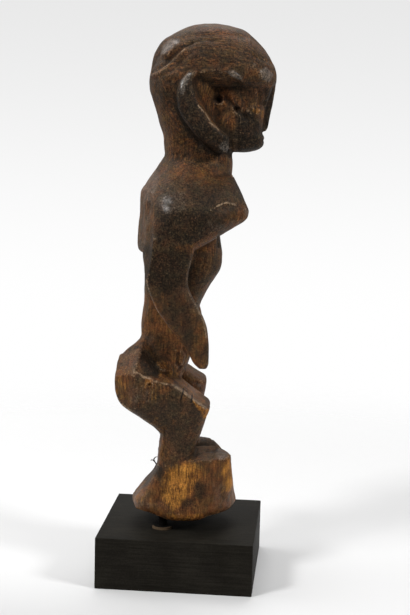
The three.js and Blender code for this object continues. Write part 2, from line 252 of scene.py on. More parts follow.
LEFT_FOOT = [
    (40.0, -13.0, 22.0, 6.0, 19.5, 2.2),
    (47.0, -13.0, 23.0, 4.8, 21.8, 2.4),
    (54.0, -11.0, 20.8, 5.2, 22.2, 2.5),
    (57.0, -10.0, 18.8, 6.2, 21.6, 2.4),
    (59.2, -9.0, 17.0, 7.2, 20.8, 2.3),
    (61.2, -7.0, 14.8, 8.4, 19.6, 2.2),
    (62.5, -5.0, 12.4, 9.8, 18.4, 2.1),
    (63.2, -3.0, 9.4, 11.4, 16.8, 2.0),
]
BREAST = [
    (161.0, -19.0, 2.6, 6.0, 31.0, 2.6),
    (163.5, -20.0, 7.6, 4.6, 32.4, 2.3),
    (168.0, -21.0, 14.6, 3.4, 33.4, 2.0),
    (172.6, -22.0, 21.2, 2.6, 33.6, 1.8),
    (175.4, -22.0, 25.2, 2.4, 33.6, 1.7),
    (178.0, -22.0, 27.3, 2.4, 33.4, 1.65),
    (180.4, -22.0, 27.7, 2.4, 33.0, 1.65),
    (183.0, -22.0, 26.5, 2.4, 32.2, 1.7),
    (187.0, -21.0, 24.8, 2.2, 30.4, 1.8),
    (191.0, -19.0, 22.7, 1.8, 27.6, 2.0),
    (196.0, -16.0, 20.0, 1.4, 21.4, 2.2),
]
ARM = [
    (106.6, 5.8, 9.4, 25.4, 29.2, 2.6),
    (109.0, 3.2, 10.2, 24.8, 30.0, 3.0),
    (113.0, 1.0, 10.3, 24.4, 30.6, 3.4),
    (118.0, -2.2, 10.1, 24.0, 31.2, 3.4),
    (124.0, -7.2, 9.5, 23.8, 31.6, 3.4),
    (130.0, -11.6, 7.8, 23.6, 31.9, 3.4),
    (136.0, -15.8, 4.4, 23.4, 32.1, 3.4),
    (141.7, -18.2, 1.3, 23.2, 32.3, 3.4),
    (147.0, -20.0, -0.4, 23.0, 32.5, 3.2),
    (152.0, -21.0, 0.0, 22.6, 32.7, 3.2),
    (157.0, -21.7, 1.2, 22.0, 33.0, 3.2),
    (162.0, -21.2, 2.6, 20.0, 33.2, 3.0),
    (168.0, -22.0, 6.0, 17.0, 33.2, 3.0),
]
EAR = [
    (207.4, 11.0, 16.4, 13.0, 22.4, 2.8),
    (210.3, 7.2, 17.4, 12.6, 23.6, 3.2),
    (213.9, 3.0, 17.2, 12.2, 24.6, 3.6),
    (218.3, -1.0, 12.6, 12.0, 25.2, 3.8),
    (222.8, -4.4, 8.6, 12.0, 25.6, 4.0),
    (228.2, -6.8, 5.0, 12.0, 25.6, 4.0),
    (233.6, -7.4, 1.8, 12.0, 25.2, 4.0),
    (238.1, -6.6, 0.2, 12.0, 24.4, 3.8),
    (241.8, -4.6, 0.9, 12.0, 23.2, 3.4),
    (244.6, -2.2, 2.4, 12.0, 21.8, 3.0),
]

# The left knee, hip and arm against the right ones
KNEE_HEIGHT = 88
KNEE_REACH = 26
LEFT_KNEE_LIFT = 6
LEFT_KNEE_SET_BACK = 1.8
LEFT_HIP_DROP = 4.4
LEFT_ARM_SET_BACK = 2.6
LEFT_HIP_START = 2

# How far the heel's back runs askew: forward for each millimetre to the left
HEEL_SLANT = 0.07

# The two sides, as the sign of y
RIGHT, LEFT = -1, 1
BOTH = (RIGHT, LEFT)

# Facets cut with a broad blade, on the left side: a point on the plane and the way it faces
HIP_SIDE = ((-25.5, 27.0, 98.0), (-0.60, 0.80, -0.10))
LEG_FACETS = [
    ((-9.9, 26.0, 99.8), (0.23, 0.36, 0.90)),
    ((-1.4, 26.0, 95.0), (0.582, 0.097, 0.808)),
    HIP_SIDE,
]
HIP_FACETS = [
    ((-24.5, 27.0, 104.0), (-0.55, 0.51, 0.66)),
    ((-24.5, 27.0, 104.0), (0.43, 0.67, 0.60)),
    HIP_SIDE,
]
FOOT_FACETS = [
    ((14.0, 21.0, 61.2), (-0.06, 0.22, 0.97)),
    ((21.4, 15.0, 62.4), (0.47, -0.11, 0.87)),
]
YOKE_FACETS = [((-17.8, 27.0, 176.0), (-0.92, 0.38, 0.10))]
BREAST_FACETS = [((23.6, 22.0, 174.8), (0.53, 0.12, -0.84))]

# Fineness of the skin: points around a level, rise between levels, side of a voxel, triangles once thinned
RING_POINTS = 96
RING_STEP = 0.8
VOXEL = 0.6
SKIN_TRIANGLES = 196000

# Rounds of smoothing the whole skin and of easing where masses meet, and the share of the way eased in each
SMOOTH_ROUNDS = 4
EASE_ROUNDS = 30
EASE_SHARE = 0.7

# Scoops of the knife, and the noise that makes the surface uneven: height, size and seed of each
SCOOPS = {"count": 800, "depth": 0.26, "reach": 4.0, "seed": 11}
SWELLS = [(0.12, 7.0, 3), (0.08, 2.6, 4)]
HEWN_HEIGHT, HEWN_SIZE, HEWN_SEED = 0.16, 1.5, 5


def between(heights, values, at):
    """Cubic curve through the listed values that never overshoots.

    Each inner slope is the harmonic mean of the slopes on its two sides, or 0 where they differ in sign.
    """
    step = np.diff(heights)
    rise = np.diff(values, axis=0) / step[:, None]
    same = rise[1:] * rise[:-1] > 0
    total = np.where(same, rise[1:] + rise[:-1], 1)
    inner = np.where(same, 2 * rise[1:] * rise[:-1] / total, 0)
    slope = np.concatenate([rise[:1], inner, rise[-1:]])
    low = np.clip(np.searchsorted(heights, at, side="right") - 1, 0, len(step) - 1)
    gap = step[low][:, None]
    t = (at - heights[low])[:, None] / gap
    first = (2 * t**3 - 3 * t**2 + 1) * values[low] + (t**3 - 2 * t**2 + t) * gap * slope[low]
    second = (3 * t**2 - 2 * t**3) * values[low + 1] + (t**3 - t**2) * gap * slope[low + 1]
    return first + second


def bent(value, squareness):
    """A sine or cosine bent towards a square corner: its size to the power of 2 over the squareness."""
    return np.sign(value) * np.abs(value) ** (2 / squareness)


def mass_surface(sections):
    """A closed surface over height and angle, on the left side or across both.

    Each level is a superellipse between back and front, right and left. Returns points of shape
    (levels, around, 3). Both ends are closed by a last ring drawn in to its middle.
    """
    table = np.array(sections, float)
    levels = np.linspace(table[0, 0], table[-1, 0], max(6, int((table[-1, 0] - table[0, 0]) / RING_STEP)))
    back, front, right, left, squareness = between(table[:, 0], table[:, 1:], levels).T[:, :, None]
    angle = np.linspace(0, 2 * math.pi, RING_POINTS, endpoint=False)[None, :]
    x = (back + front) / 2 + (front - back) / 2 * bent(np.cos(angle), squareness)
    y = (right + left) / 2 + (left - right) / 2 * bent(np.sin(angle), squareness)
    z = np.broadcast_to(levels[:, None], x.shape)
    rings = np.stack([x, y, z], axis=-1)
    shrink = [rings[:1].mean(1, keepdims=True), rings[-1:].mean(1, keepdims=True)]
    caps = [np.broadcast_to(middle, rings[:1].shape) for middle in shrink]
    return np.concatenate([caps[0], rings, caps[1]])


def central(sections):
    """A mass with the same half width on both sides."""
    return mass_surface([(z, back, front, -half, half, n) for z, back, front, half, n in sections])


def right_side(sections):
    """A paired mass turned over to the right."""
    return mass_surface([
        (z, back, front, -outer, -inner, n) for z, back, front, inner, outer, n in sections
    ])


def lifted_knee(sections):
    """The left leg: close to the knee the sections are raised and drawn back."""
    moved = []
    for z, back, front, *rest in sections:
        near = max(0, 1 - abs(z - KNEE_HEIGHT) / KNEE_REACH)
        moved.append((z + near * LEFT_KNEE_LIFT, back, front - near * LEFT_KNEE_SET_BACK, *rest))
    return moved


def slanted(surface, slant):
    """Moves each point forward by slant times its distance to the left."""
    return surface + surface[..., 1:2] * (slant, 0, 0)


def set_back(sections, distance):
    """The sections moved back by a distance."""
    return [(z, back - distance, front - distance, *rest) for z, back, front, *rest in sections]


def planed(surface, facets, side, lift=0.0):
    """Cuts flat facets: points beyond a plane drop back onto it.

    A plane is a point on it and the way it faces, on the left; RIGHT turns it over, and lift raises it.
    """
    for on, facing in facets:
        outward = np.array(facing) * (1, side, 1) / np.linalg.norm(facing)
        proud = (surface - np.array(on) * (1, side, 1) - (0, 0, lift)) @ outward
        surface = surface - np.maximum(proud, 0)[..., None] * outward
    return surface


def grid_faces(rows, columns, first):
    """Quads of a grid that closes on itself along its columns, as vertex numbers from first on."""
    corner = first + np.arange((rows - 1) * columns).reshape(rows - 1, columns)
    beside = np.roll(corner, -1, axis=1)
    return np.stack([corner, beside, beside + columns, corner + columns], axis=-1).reshape(-1, 4)


def mesh_from(name, points, faces):
    """A mesh from an array of points and an array of equal-sided faces."""
    mesh = bpy.data.meshes.new(name)
    sides = faces.shape[1]
    mesh.vertices.add(len(points))
    mesh.vertices.foreach_set("co", np.ascontiguousarray(points, np.float32).ravel())
    mesh.loops.add(faces.size)
    mesh.loops.foreach_set("vertex_index", np.ascontiguousarray(faces, np.int32).ravel())
    mesh.polygons.add(len(faces))
    mesh.polygons.foreach_set("loop_start", np.arange(0, faces.size, sides, dtype=np.int32))
    mesh.update(calc_edges=True)
    mesh.validate()
    return mesh


def joined_surfaces(name, surfaces):
    """One mesh of several closed grids."""
    points, faces, first = [], [], 0
    for grid in surfaces:
        rows, columns = grid.shape[:2]
        points.append(grid.reshape(-1, 3))
        faces.append(grid_faces(rows, columns, first))
        first += rows * columns
    return mesh_from(name, np.concatenate(points), np.concatenate(faces))


def new_object(name, mesh):
    """An object of that name in the scene."""
    made = bpy.data.objects.new(name, mesh)
    SCENE.collection.objects.link(made)
    return made


def with_modifiers(thing):
    """Replaces an object's mesh by what its modifiers make of it."""
    evaluated = thing.evaluated_get(bpy.context.evaluated_depsgraph_get())
    done = bpy.data.meshes.new_from_object(evaluated)
    thing.modifiers.clear()
    old, thing.data = thing.data, done
    bpy.data.meshes.remove(old)


def read(items, name, width, kind=np.float32):
    """A value of each of a mesh's items, such as their places, as an array with one row for each."""
    values = np.empty(len(items) * width, kind)
    items.foreach_get(name, values)
    return values.reshape(-1, width)


def read_points(mesh):
    """The places of the vertices."""
    return read(mesh.vertices, "co", 3).astype(float)


def read_normals(mesh):
    """The directions straight out of the surface at the vertices."""
    return read(mesh.vertex_normals, "vector", 3).astype(float)


def write_points(mesh, points):
    """Moves the vertices to the given places."""
    mesh.vertices.foreach_set("co", np.ascontiguousarray(points, np.float32).ravel())
    mesh.update()


def set_attribute(mesh, name, values):
    """Stores one value for each vertex, for the material to read."""
    layer = mesh.attributes.new(name, "FLOAT", "POINT")
    layer.data.foreach_set("value", np.ascontiguousarray(values, np.float32))


def neighbour_mean(values, edges):
    """Mean of each vertex's neighbours, for an array of one or more columns."""
    values = values.reshape(len(values), -1)
    count = np.bincount(edges.ravel(), minlength=len(values))[:, None]
    columns = [
        np.bincount(edges[:, 0], values[edges[:, 1], k], len(values))
        + np.bincount(edges[:, 1], values[edges[:, 0], k], len(values))
        for k in range(values.shape[1])
    ]
    return np.stack(columns, axis=1) / np.maximum(count, 1)


def smoothed(points, edges, rounds, inward=0.6, extra=0.03):
    """Evens out bumps: each point moves towards its neighbours' mean and then, by extra more, back out."""
    for _ in range(rounds):
        points = points + inward * (neighbour_mean(points, edges) - points)
        points = points - (inward + extra) * (neighbour_mean(points, edges) - points)
    return points


def blurred(values, edges, rounds):
    """Spreads values over the surface: each becomes the mean of itself and its neighbours' mean."""
    for _ in range(rounds):
        values = (values + neighbour_mean(values, edges)[:, 0]) / 2
    return values


def lattice_noise(points, size, seed):
    """Noise from -1 to 1: random values on a cubic lattice, blended by 3t^2 - 2t^3 along each axis."""
    table = np.random.default_rng(seed).random((32, 32, 32))
    place = points / size
    cell = np.floor(place).astype(int)
    t = place - cell
    t = t * t * (3 - 2 * t)
    total = np.zeros(len(points))
    for corner in np.ndindex(2, 2, 2):
        weight = np.prod(np.where(corner, t, 1 - t), axis=1)
        i, j, k = ((cell + corner) % 32).T
        total += weight * table[i, j, k]
    return total * 2 - 1


def smooth_step(value, low, high):
    """0 below low, 1 above high, and 3t^2 - 2t^3 between them."""
    t = np.clip((value - low) / (high - low), 0, 1)
    return t * t * (3 - 2 * t)


def window(value, low, full, still_full, high):
    """0 up to low, 1 from full to still_full, and 0 again from high on."""
    return smooth_step(value, low, full) * (1 - smooth_step(value, still_full, high))


def chain_distance(points, chain):
    """Distance, seen from the side, to a chain of straight pieces given as x and z."""
    flat = points[:, [0, 2]]
    least = np.full(len(points), np.inf)
    for start, end in zip(np.array(chain[:-1], float), np.array(chain[1:], float)):
        along = end - start
        t = np.clip((flat - start) @ along / (along @ along), 0, 1)
        least = np.minimum(least, np.linalg.norm(flat - start - t[:, None] * along, axis=1))
    return least


# Cut lines seen from the side: their points as x and z, half width, depth (a rise where below 0), and the
# least distance out from the middle
LINES = [
    ([(-20.5, 243.4), (-14.5, 246.3), (-11, 249.4), (-8, 252.5), (-5.4, 255.1), (-0.9, 257.2)], 1, 0.9, 4),
    ([(-0.9, 257.2), (4.7, 258.4), (11, 258.6)], 0.8, 0.35, 4),
    ([(-19.6, 241.6), (-13.2, 244.6), (-9.6, 247.8), (-6.6, 251), (-3.8, 253.6)], 0.8, -0.35, 4),
    ([(-18.6, 240.2), (-11.8, 242.8), (-7.8, 246.4), (-4.6, 249.6), (-1, 252.2)], 0.6, 0.3, 4),
    ([(28, 252.2), (32.4, 250.6), (38, 248.4)], 0.9, 0.5, 3),
    ([(15.2, 232.7), (18.4, 229.7), (22.1, 226.2), (25, 223.2)], 1, 0.7, 8),
    ([(18, 225.5), (17.9, 219.5), (18.3, 214.3), (18.9, 207.7)], 0.5, 0.4, 8),
    ([(9.2, 181.2), (12.4, 183.1), (16.5, 184.8), (19.3, 184.2), (22.2, 182.9),
      (25.2, 181.3)], 0.6, -0.28, 12),
    ([(0, 242.9), (4.1, 244), (10.2, 244.7), (15.8, 244.3), (18.9, 242.9), (22, 241.2)], 1.5, -0.9, 10),
    ([(4, 239.4), (12, 239), (21, 239)], 1.3, 0.6, 10),
    ([(-2, 113.8), (0.5, 109.9), (-0.8, 105), (-3.9, 102)], 0.9, 0.9, 5),
    ([(-4.6, 111), (-4.4, 106), (-1.5, 101)], 0.8, 0.6, 5),
    ([(-9.7, 76.5), (-9.6, 69.9), (-10.6, 62)], 0.6, 0.35, 12),
    ([(13.5, 168.4), (14.2, 162.4)], 0.5, 0.8, 6),
    ([(11.4, 60.7), (13.4, 61.8), (17.3, 64.7)], 0.4, 0.3, 8),
    ([(-12.8, 57), (-13.8, 53.6), (-15.8, 50.5), (-18.4, 46.6), (-21.1, 43.8), (-23.4, 41.7),
      (-24.8, 38)], 0.7, -0.3, 12),
    ([(30, 237.6), (31.2, 233), (30.6, 228.4)], 0.8, 0.5, 6),
    ([(33.6, 237.6), (34.4, 233), (33.8, 228.4)], 0.6, 0.4, 6),
    ([(25, 228.6), (29.2, 225), (33, 222.4)], 0.5, 0.35, 6),
    ([(21.2, 226), (21.6, 216), (22, 208)], 0.6, 0.4, 6),
]

# Hollows and swellings, given on the left: place, half sizes, depth, direction, one side alone
INWARD = (0, -1, 0)
BACKWARD = (-1, 0, 0)
PRESSED = {
    "back_swelling": ((-12.5, 14, 254.5), (7.5, 9, 6), 1.2, (-0.5, 0.75, 0.45)),
    "forehead_swelling": ((31.6, 14.5, 243.4), (3.6, 6, 3), 0.6, (0.2, 0.8, 0.3)),
    "cheek_swelling": ((30, 13.5, 226.6), (6.5, 5, 3.4), 0.9, (0, 1, 0)),
    "lap_swelling": ((-10.6, 17.5, 105.2), (5.4, 6, 3.2), 0.9, (0, 0.8, 0.6), RIGHT),
    "temple": ((10, 15, 229), (10, 7, 11), 1.3, INWARD),
    "eye_socket": ((33.4, 13, 233), (4.6, 8, 6.6), 1.1, INWARD),
    "temple_hole": ((11.7, 15, 231.6), (2.8, 4, 2.7), 1.9, INWARD),
    "cheek_hole": ((20.8, 14.5, 227.3), (1.8, 4, 1.6), 1.1, INWARD),
    "nostril": ((35.2, 3.4, 220.2), (1.6, 2.4, 2.6), 1.2, INWARD),
    "hip_hole": ((-17.1, 28, 98.4), (1.1, 4, 1.1), 1.1, INWARD, RIGHT),
    "eye_cut": ((35, 7.4, 230.5), (4, 2.9, 1.4), 1.5, BACKWARD),
    "mouth_cut": ((34, 0, 213), (5, 6, 0.9), 1.4, BACKWARD, LEFT),
}
LOW_RIM = ((-1, 22, 33), (15, 10, 5), 1.7, (0, 0, -1), RIGHT)


def polygon_depth(points, outline):
    """How deep each point lies, seen from the side, within an outline of x and z; less than 0 outside it.

    The size is the distance to the nearest edge. A point is inside where a ray from it crosses an odd
    number of edges.
    """
    flat = points[:, [0, 2]]
    corners = np.array(outline, float)
    inside = np.zeros(len(points), bool)
    for (x0, z0), (x1, z1) in zip(corners, np.roll(corners, -1, axis=0)):
        crosses = (z0 > flat[:, 1]) != (z1 > flat[:, 1])
        rise = z1 - z0 if z1 != z0 else 1
        inside ^= crosses & (flat[:, 0] < (x1 - x0) * (flat[:, 1] - z0) / rise + x0)
    away = chain_distance(points, [*outline, outline[0]])
    return np.where(inside, away, -away)


def sunk(points, place, half, depth, direction, *sides):
    """Presses a soft-edged hollow in along a direction: an ellipsoid of half sizes about its place."""
    x, y, z = place
    for side in sides or BOTH:
        away = np.linalg.norm((points - (x, side * y, z)) / half, axis=1)
        push = np.array(direction) * (1, side, 1) * depth
        points = points + (1 - smooth_step(away, 0.45, 1.0))[:, None] * push
    return points


def carve(points, normals):
    """Cuts the lines into the joined masses along their normals, then presses in the small features."""
    out = np.abs(points[:, 1])
    for chain, half_width, depth, least in LINES:
        away = chain_distance(points, chain)
        near = np.exp(-((away / half_width) ** 2)) * smooth_step(out, least - 1, least + 1)
        points = points - (near * depth)[:, None] * normals
    for feature in PRESSED.values():
        points = sunk(points, *feature)
    return points


def eased(points, edges, areas):
    """Rounds out the corners where masses meet: each point there moves towards its neighbours' mean."""
    share = EASE_SHARE * patch(points, areas)[:, None]
    for _ in range(EASE_ROUNDS):
        points = points + share * (neighbour_mean(points, edges) - points)
    return points


def scooped(points, normals, count, depth, reach, seed):
    """Shallow scoops left by the knife at scattered points.

    Each is depth times (1 - (r / reach)^2)^2, r being the distance from its middle, drawn out along z.
    """
    drawn = np.random.default_rng(seed)
    picks = drawn.choice(len(points), count, replace=False)
    sizes = drawn.uniform(0.6, 1.3, count)
    sunk_in = np.zeros(len(points))
    for on, size in zip(points[picks], sizes):
        away = ((points - on) ** 2 / (reach * size) ** 2 * (1, 1, 0.35)).sum(axis=1)
        near = away < 1
        sunk_in[near] = np.maximum(sunk_in[near], depth * size * (1 - away[near]) ** 2)
    return points - sunk_in[:, None] * normals


def strand(path, radius):
    """A thin closed tube along a path, narrowing to its last point.

    Each ring is radius * (cos a, sin a) in the plane across the path.
    """
    centre = np.array(path, float)
    rows = np.linspace(0, len(centre) - 1, 4 * len(centre))
    middle = between(np.arange(len(centre), dtype=float), centre, rows)
    along = np.gradient(middle, axis=0)
    first = np.cross(along, (0, 1, 0))
    first /= np.linalg.norm(first, axis=1, keepdims=True)
    second = np.cross(along, first)
    second /= np.linalg.norm(second, axis=1, keepdims=True)
    angle = np.linspace(0, 2 * math.pi, 8, endpoint=False)
    width = radius * np.append(np.linspace(1.0, 0.5, len(rows) - 1), 0.0)[:, None, None]
    width[0] = 0
    turned = np.cos(angle)[None, :, None] * first[:, None] + np.sin(angle)[None, :, None] * second[:, None]
    return middle[:, None] + width * turned


def loose_fibres():
    """Torn fibres standing off the back of the right ankle."""
    made = joined_surfaces("loose_fibres", [strand(path, FIBRE_RADIUS) for path in FIBRES])
    write_points(made, on_plinth(read_points(made)))
    for name, value in (("dark_and_shaded", 1.0), ("brown", 0.0)):
        set_attribute(made, name, np.full(len(made.vertices), value))
    made.shade_smooth()
    return new_object("loose_fibres", made)


def on_plinth(points):
    """From the figure's own frame in millimetres to the plinth's frame in metres."""
    c, s = math.cos(FIGURE_TURN), math.sin(FIGURE_TURN)
    x, y, z = points.T
    return np.stack([c * x - s * y + FIGURE_SHIFT, s * x + c * y, z], axis=1) * MM


def figure_masses():
    """Every mass of the figure as a closed surface of its own, planed where a broad blade cut it."""
    left_leg = planed(mass_surface(lifted_knee(LEG)), LEG_FACETS, LEFT, LEFT_KNEE_LIFT)
    return [
        *(central(s) for s in (FOOT_BLOCK, TRUNK, BELLY, NECK, OCCIPUT, FACE, NOSE, CAP, CREST)),
        slanted(central(HEEL), HEEL_SLANT),
        planed(planed(central(YOKE), YOKE_FACETS, RIGHT), YOKE_FACETS, LEFT),
        planed(right_side(RIGHT_FOOT), FOOT_FACETS, RIGHT),
        right_side(EAR),
        mass_surface(LEFT_FOOT),
        mass_surface(EAR),
        planed(right_side(ARM), YOKE_FACETS, RIGHT),
        planed(mass_surface(set_back(ARM, LEFT_ARM_SET_BACK)), YOKE_FACETS, LEFT),
        planed(right_side(HIP), HIP_FACETS, RIGHT),
        planed(mass_surface(HIP[LEFT_HIP_START:]), HIP_FACETS, LEFT) - (0, 0, LEFT_HIP_DROP),
        planed(planed(right_side(LEG), LEG_FACETS, RIGHT), HIP_FACETS[:1], RIGHT),
        planed(left_leg, HIP_FACETS[:1], LEFT, -LEFT_HIP_DROP),
        planed(right_side(BREAST), BREAST_FACETS, RIGHT),
        planed(mass_surface(BREAST), BREAST_FACETS, LEFT),
    ]


def unevenness(points):
    """Height of the slow swells all over and of the fibrous roughness where the wood is hewn."""
    swell = sum(height * lattice_noise(points, size, seed) for height, size, seed in SWELLS)
    drawn_out = points * (1, 1, 0.4)
    return swell + HEWN_HEIGHT * lattice_noise(drawn_out, HEWN_SIZE, HEWN_SEED) * patch(points, ROUGH_HEWN)


def figure_skin():
    """The figure as one fine skin: masses joined, smoothed, carved, marked with wear, then thinned."""
    skin = new_object("carved_figure", joined_surfaces("carved_figure", figure_masses()))
    remesh = skin.modifiers.new("one_skin", "REMESH")
    remesh.mode = "VOXEL"
    remesh.voxel_size = VOXEL
    with_modifiers(skin)
    mesh = skin.data
    edges = read(mesh.edges, "vertices", 2, np.int32)
    points = smoothed(read_points(mesh), edges, SMOOTH_ROUNDS)
    points = eased(points, edges, EASED)
    write_points(mesh, points)
    points = carve(points, read_normals(mesh))
    write_points(mesh, points)
    points = scooped(points, read_normals(mesh), **SCOOPS)
    write_points(mesh, points)
    points = points + unevenness(points)[:, None] * read_normals(mesh)
    points[:, 2] = np.maximum(points[:, 2], UNDERSIDE)
    points = sunk(points, *LOW_RIM)
    write_points(mesh, points)
    mark_wear(mesh, points, edges)
    write_points(mesh, on_plinth(points))
    fewer = skin.modifiers.new("fewer_faces", "DECIMATE")
    fewer.ratio = SKIN_TRIANGLES / (len(mesh.loops) - 2 * len(mesh.polygons))
    with_modifiers(skin)
    skin.data.shade_smooth()
    return skin


# Areas seen from the side: outline as x and z, strength, softness of the border, one side alone
BACK_FACET = [(-18, 200), (-24, 192), (-26, 160), (-21, 160), (-17.5, 178), (-14, 196)]
EASED = [
    ([(-38, 114), (-28, 117), (-22, 121), (-21, 113), (-27, 104), (-38, 102)], 0.45, 1),
    ([(-24, 118), (-20, 110), (-12, 107), (-4, 105), (-2, 110), (-4, 119), (-20, 122)], 1, 0.8),
    ([(-16, 60), (-11, 62), (5, 58), (7, 46), (-6, 42), (-13, 47)], 1, 1),
]
ROUGH_HEWN = [
    ([(-22, 134), (-12, 130), (-4, 119), (-1, 112), (-4, 101), (-14, 104), (-24, 112)], 1, 1.5),
    ([(-11, 60), (6, 61), (9, 48), (5, 36), (-6, 33), (-13, 42)], 0.8, 2),
]
BROWN = [
    ([(-24, 240), (-14, 262), (10, 272), (36, 262), (44, 240), (20, 236)], 0.54, 3),
    ([(1, 240), (2, 229), (9, 220), (17, 216), (21, 220), (20, 232), (21, 239)], 1, 1.5),
    ([(21, 239), (20, 229), (22, 226), (27, 227), (34, 222), (36, 226), (37, 239)], 0.75, 2),
    ([(-22, 238), (-10, 240), (-8, 226), (-1, 215), (9, 207), (19, 206), (20, 197), (-17, 197),
      (-14, 212)], 0.6, 3),
    ([(-16, 202), (20, 203), (24, 196), (10, 192), (-8, 196)], 0.65, 2),
    ([(24, 184), (30, 182), (29, 174), (20, 171), (16, 176)], 0.8, 2),
    ([(-6, 164), (4, 167), (12, 171), (12, 166), (2, 160), (-4, 160)], 0.8, 1),
    ([(-26, 140), (-16, 140), (-8, 128), (0, 118), (2, 104), (-12, 106), (-20, 114), (-26, 120)], 0.95, 2),
    ([(-36, 107), (-25, 105), (-24, 96), (-26, 89), (-36, 92)], 1.1, 2),
    ([(-34, 106), (-25, 105), (-20, 118), (-30, 114)], 0.7, 1),
    ([(-12, 108), (6, 105), (12, 93), (12, 80), (-4, 86)], 0.9, 2, LEFT),
    ([(8, 88), (12, 84), (9, 74), (4, 80)], 0.5, 2, RIGHT),
    ([(-25, 106), (-10, 101), (-6, 99), (-8, 93), (-20, 90), (-27, 94)], 0.5, 3),
    ([(-30, 30), (-30, 44), (-14, 56), (24, 64), (30, 30)], 1, 2.5),
    ([(-14, 78), (-8, 78), (-7, 60), (-13, 52), (-15, 60)], 0.6, 1.5),
    ([(5, 118), (10, 113), (9.4, 106), (4, 106), (0, 114)], 0.75, 1.5),
    ([(-13.3, 103.5), (-5.8, 105.5), (-0.3, 101.3), (8.8, 92), (9.5, 87.4), (2.6, 92.1), (-1.4, 95.1),
      (-5.4, 98.3), (-13.5, 100.2)], 0.85, 0.5, RIGHT),
    ([(17.2, 181), (23.9, 182), (27.5, 179.6), (24.1, 175.3), (19, 176)], 0.9, 0.8),
    ([(7, 63), (9, 66), (16, 64), (16, 58), (6, 57)], 0.9, 1, LEFT),
    ([(3, 112), (9, 114), (11, 122), (6, 130), (1, 118)], 0.8, 2),
    (BACK_FACET, 0.6, 1),
    ([(0.9, 161.6), (7.5, 165.2), (19, 172.2), (26.4, 177.4), (27, 173), (12.5, 164),
      (4.3, 159.5)], 0.85, 0.6),
    ([(-20, 167), (20, 165), (18, 140), (8, 130), (-20, 135)], 0.15, 4),
    ([(0, 164), (20, 164), (16, 145), (6, 133), (2, 145)], 0.3, 1),
]
OCHRE_BARE = [
    ([(-8, 56.5), (-3, 58), (3, 60.4), (6.5, 57.7), (5.6, 51), (4, 46), (0.6, 41), (-4, 37), (-9, 39.5),
      (-11, 43), (-11, 49.5), (-9, 52.5)], 1, 1.8, RIGHT),
    ([(4, 58), (10, 58), (9, 50), (5, 50)], 0.6, 1.5, RIGHT),
    ([(-6, 54), (4, 56), (6, 48), (1, 42), (-8, 44)], 0.7, 2, LEFT),
    ([(18, 60), (24, 60), (25, 44), (19, 45)], 1, 1.6, RIGHT),
    ([(-27, 34), (-26, 41), (-17, 45), (-13, 36)], 0.33, 2, RIGHT),
    ([(30.2, 237), (31.4, 237), (31.4, 229), (30.2, 229)], 0.5, 0.4),
    ([(33.4, 237), (34.2, 237), (34, 229), (33, 229)], 0.5, 0.4),
    ([(-13.3, 103.3), (-6.5, 105), (-0.3, 101), (8.8, 91.8), (9.5, 87.6), (2.6, 92.3), (-1.4, 95.3),
      (-5.4, 98.5), (-13.4, 100.4)], 0.26, 0.5, RIGHT),
    ([(-13.3, 103.5), (-6.5, 104.8), (-5.2, 98.8), (-13.4, 100.8)], 0.5, 0.5, RIGHT),
    ([(-36, 106), (-27, 105), (-26, 96), (-29, 88), (-36, 90)], 0.3, 2),
    ([(2.8, 91.6), (8, 87.6), (11.6, 85.6), (10.4, 79.5), (7.4, 84.2)], 0.95, 0.5, RIGHT),
    ([(-19.4, 101.4), (-15, 100.4), (-15, 97.2), (-18.8, 97.6)], 0.6, 0.8, RIGHT),
    ([(-17.2, 98), (-14.6, 98), (-13.6, 90.6), (-16.4, 90.4)], 0.6, 1.2, RIGHT),
    ([(-14.2, 107.8), (-10.1, 107.8), (-7.3, 105.5), (-7.7, 102.9), (-11.4, 103.5),
      (-13.5, 105)], 0.6, 0.7, RIGHT),
    ([(25.2, 228.3), (29.1, 228), (34.5, 227), (34, 222.4), (29.2, 225.4)], 0.45, 0.5),
    ([(-11, 33), (-3, 30), (3, 30), (10, 33.5), (10, 35), (-11, 35)], 0.5, 0.6),
    ([(-20, 243), (-13, 246), (-8.6, 250), (-4, 254.6), (-3, 253.4), (-8.6, 247.8),
      (-19, 241.2)], 0.35, 0.6),
    ([(3, 161.8), (8, 163.8), (9, 161.2), (4, 159.2)], 0.5, 0.6),
    ([(-27, 31), (27, 31), (27, 34.6), (-27, 34)], 0.35, 1),
    ([(27, 253), (37, 249.6), (37, 248.2), (27, 251.6)], 0.5, 0.6),
]
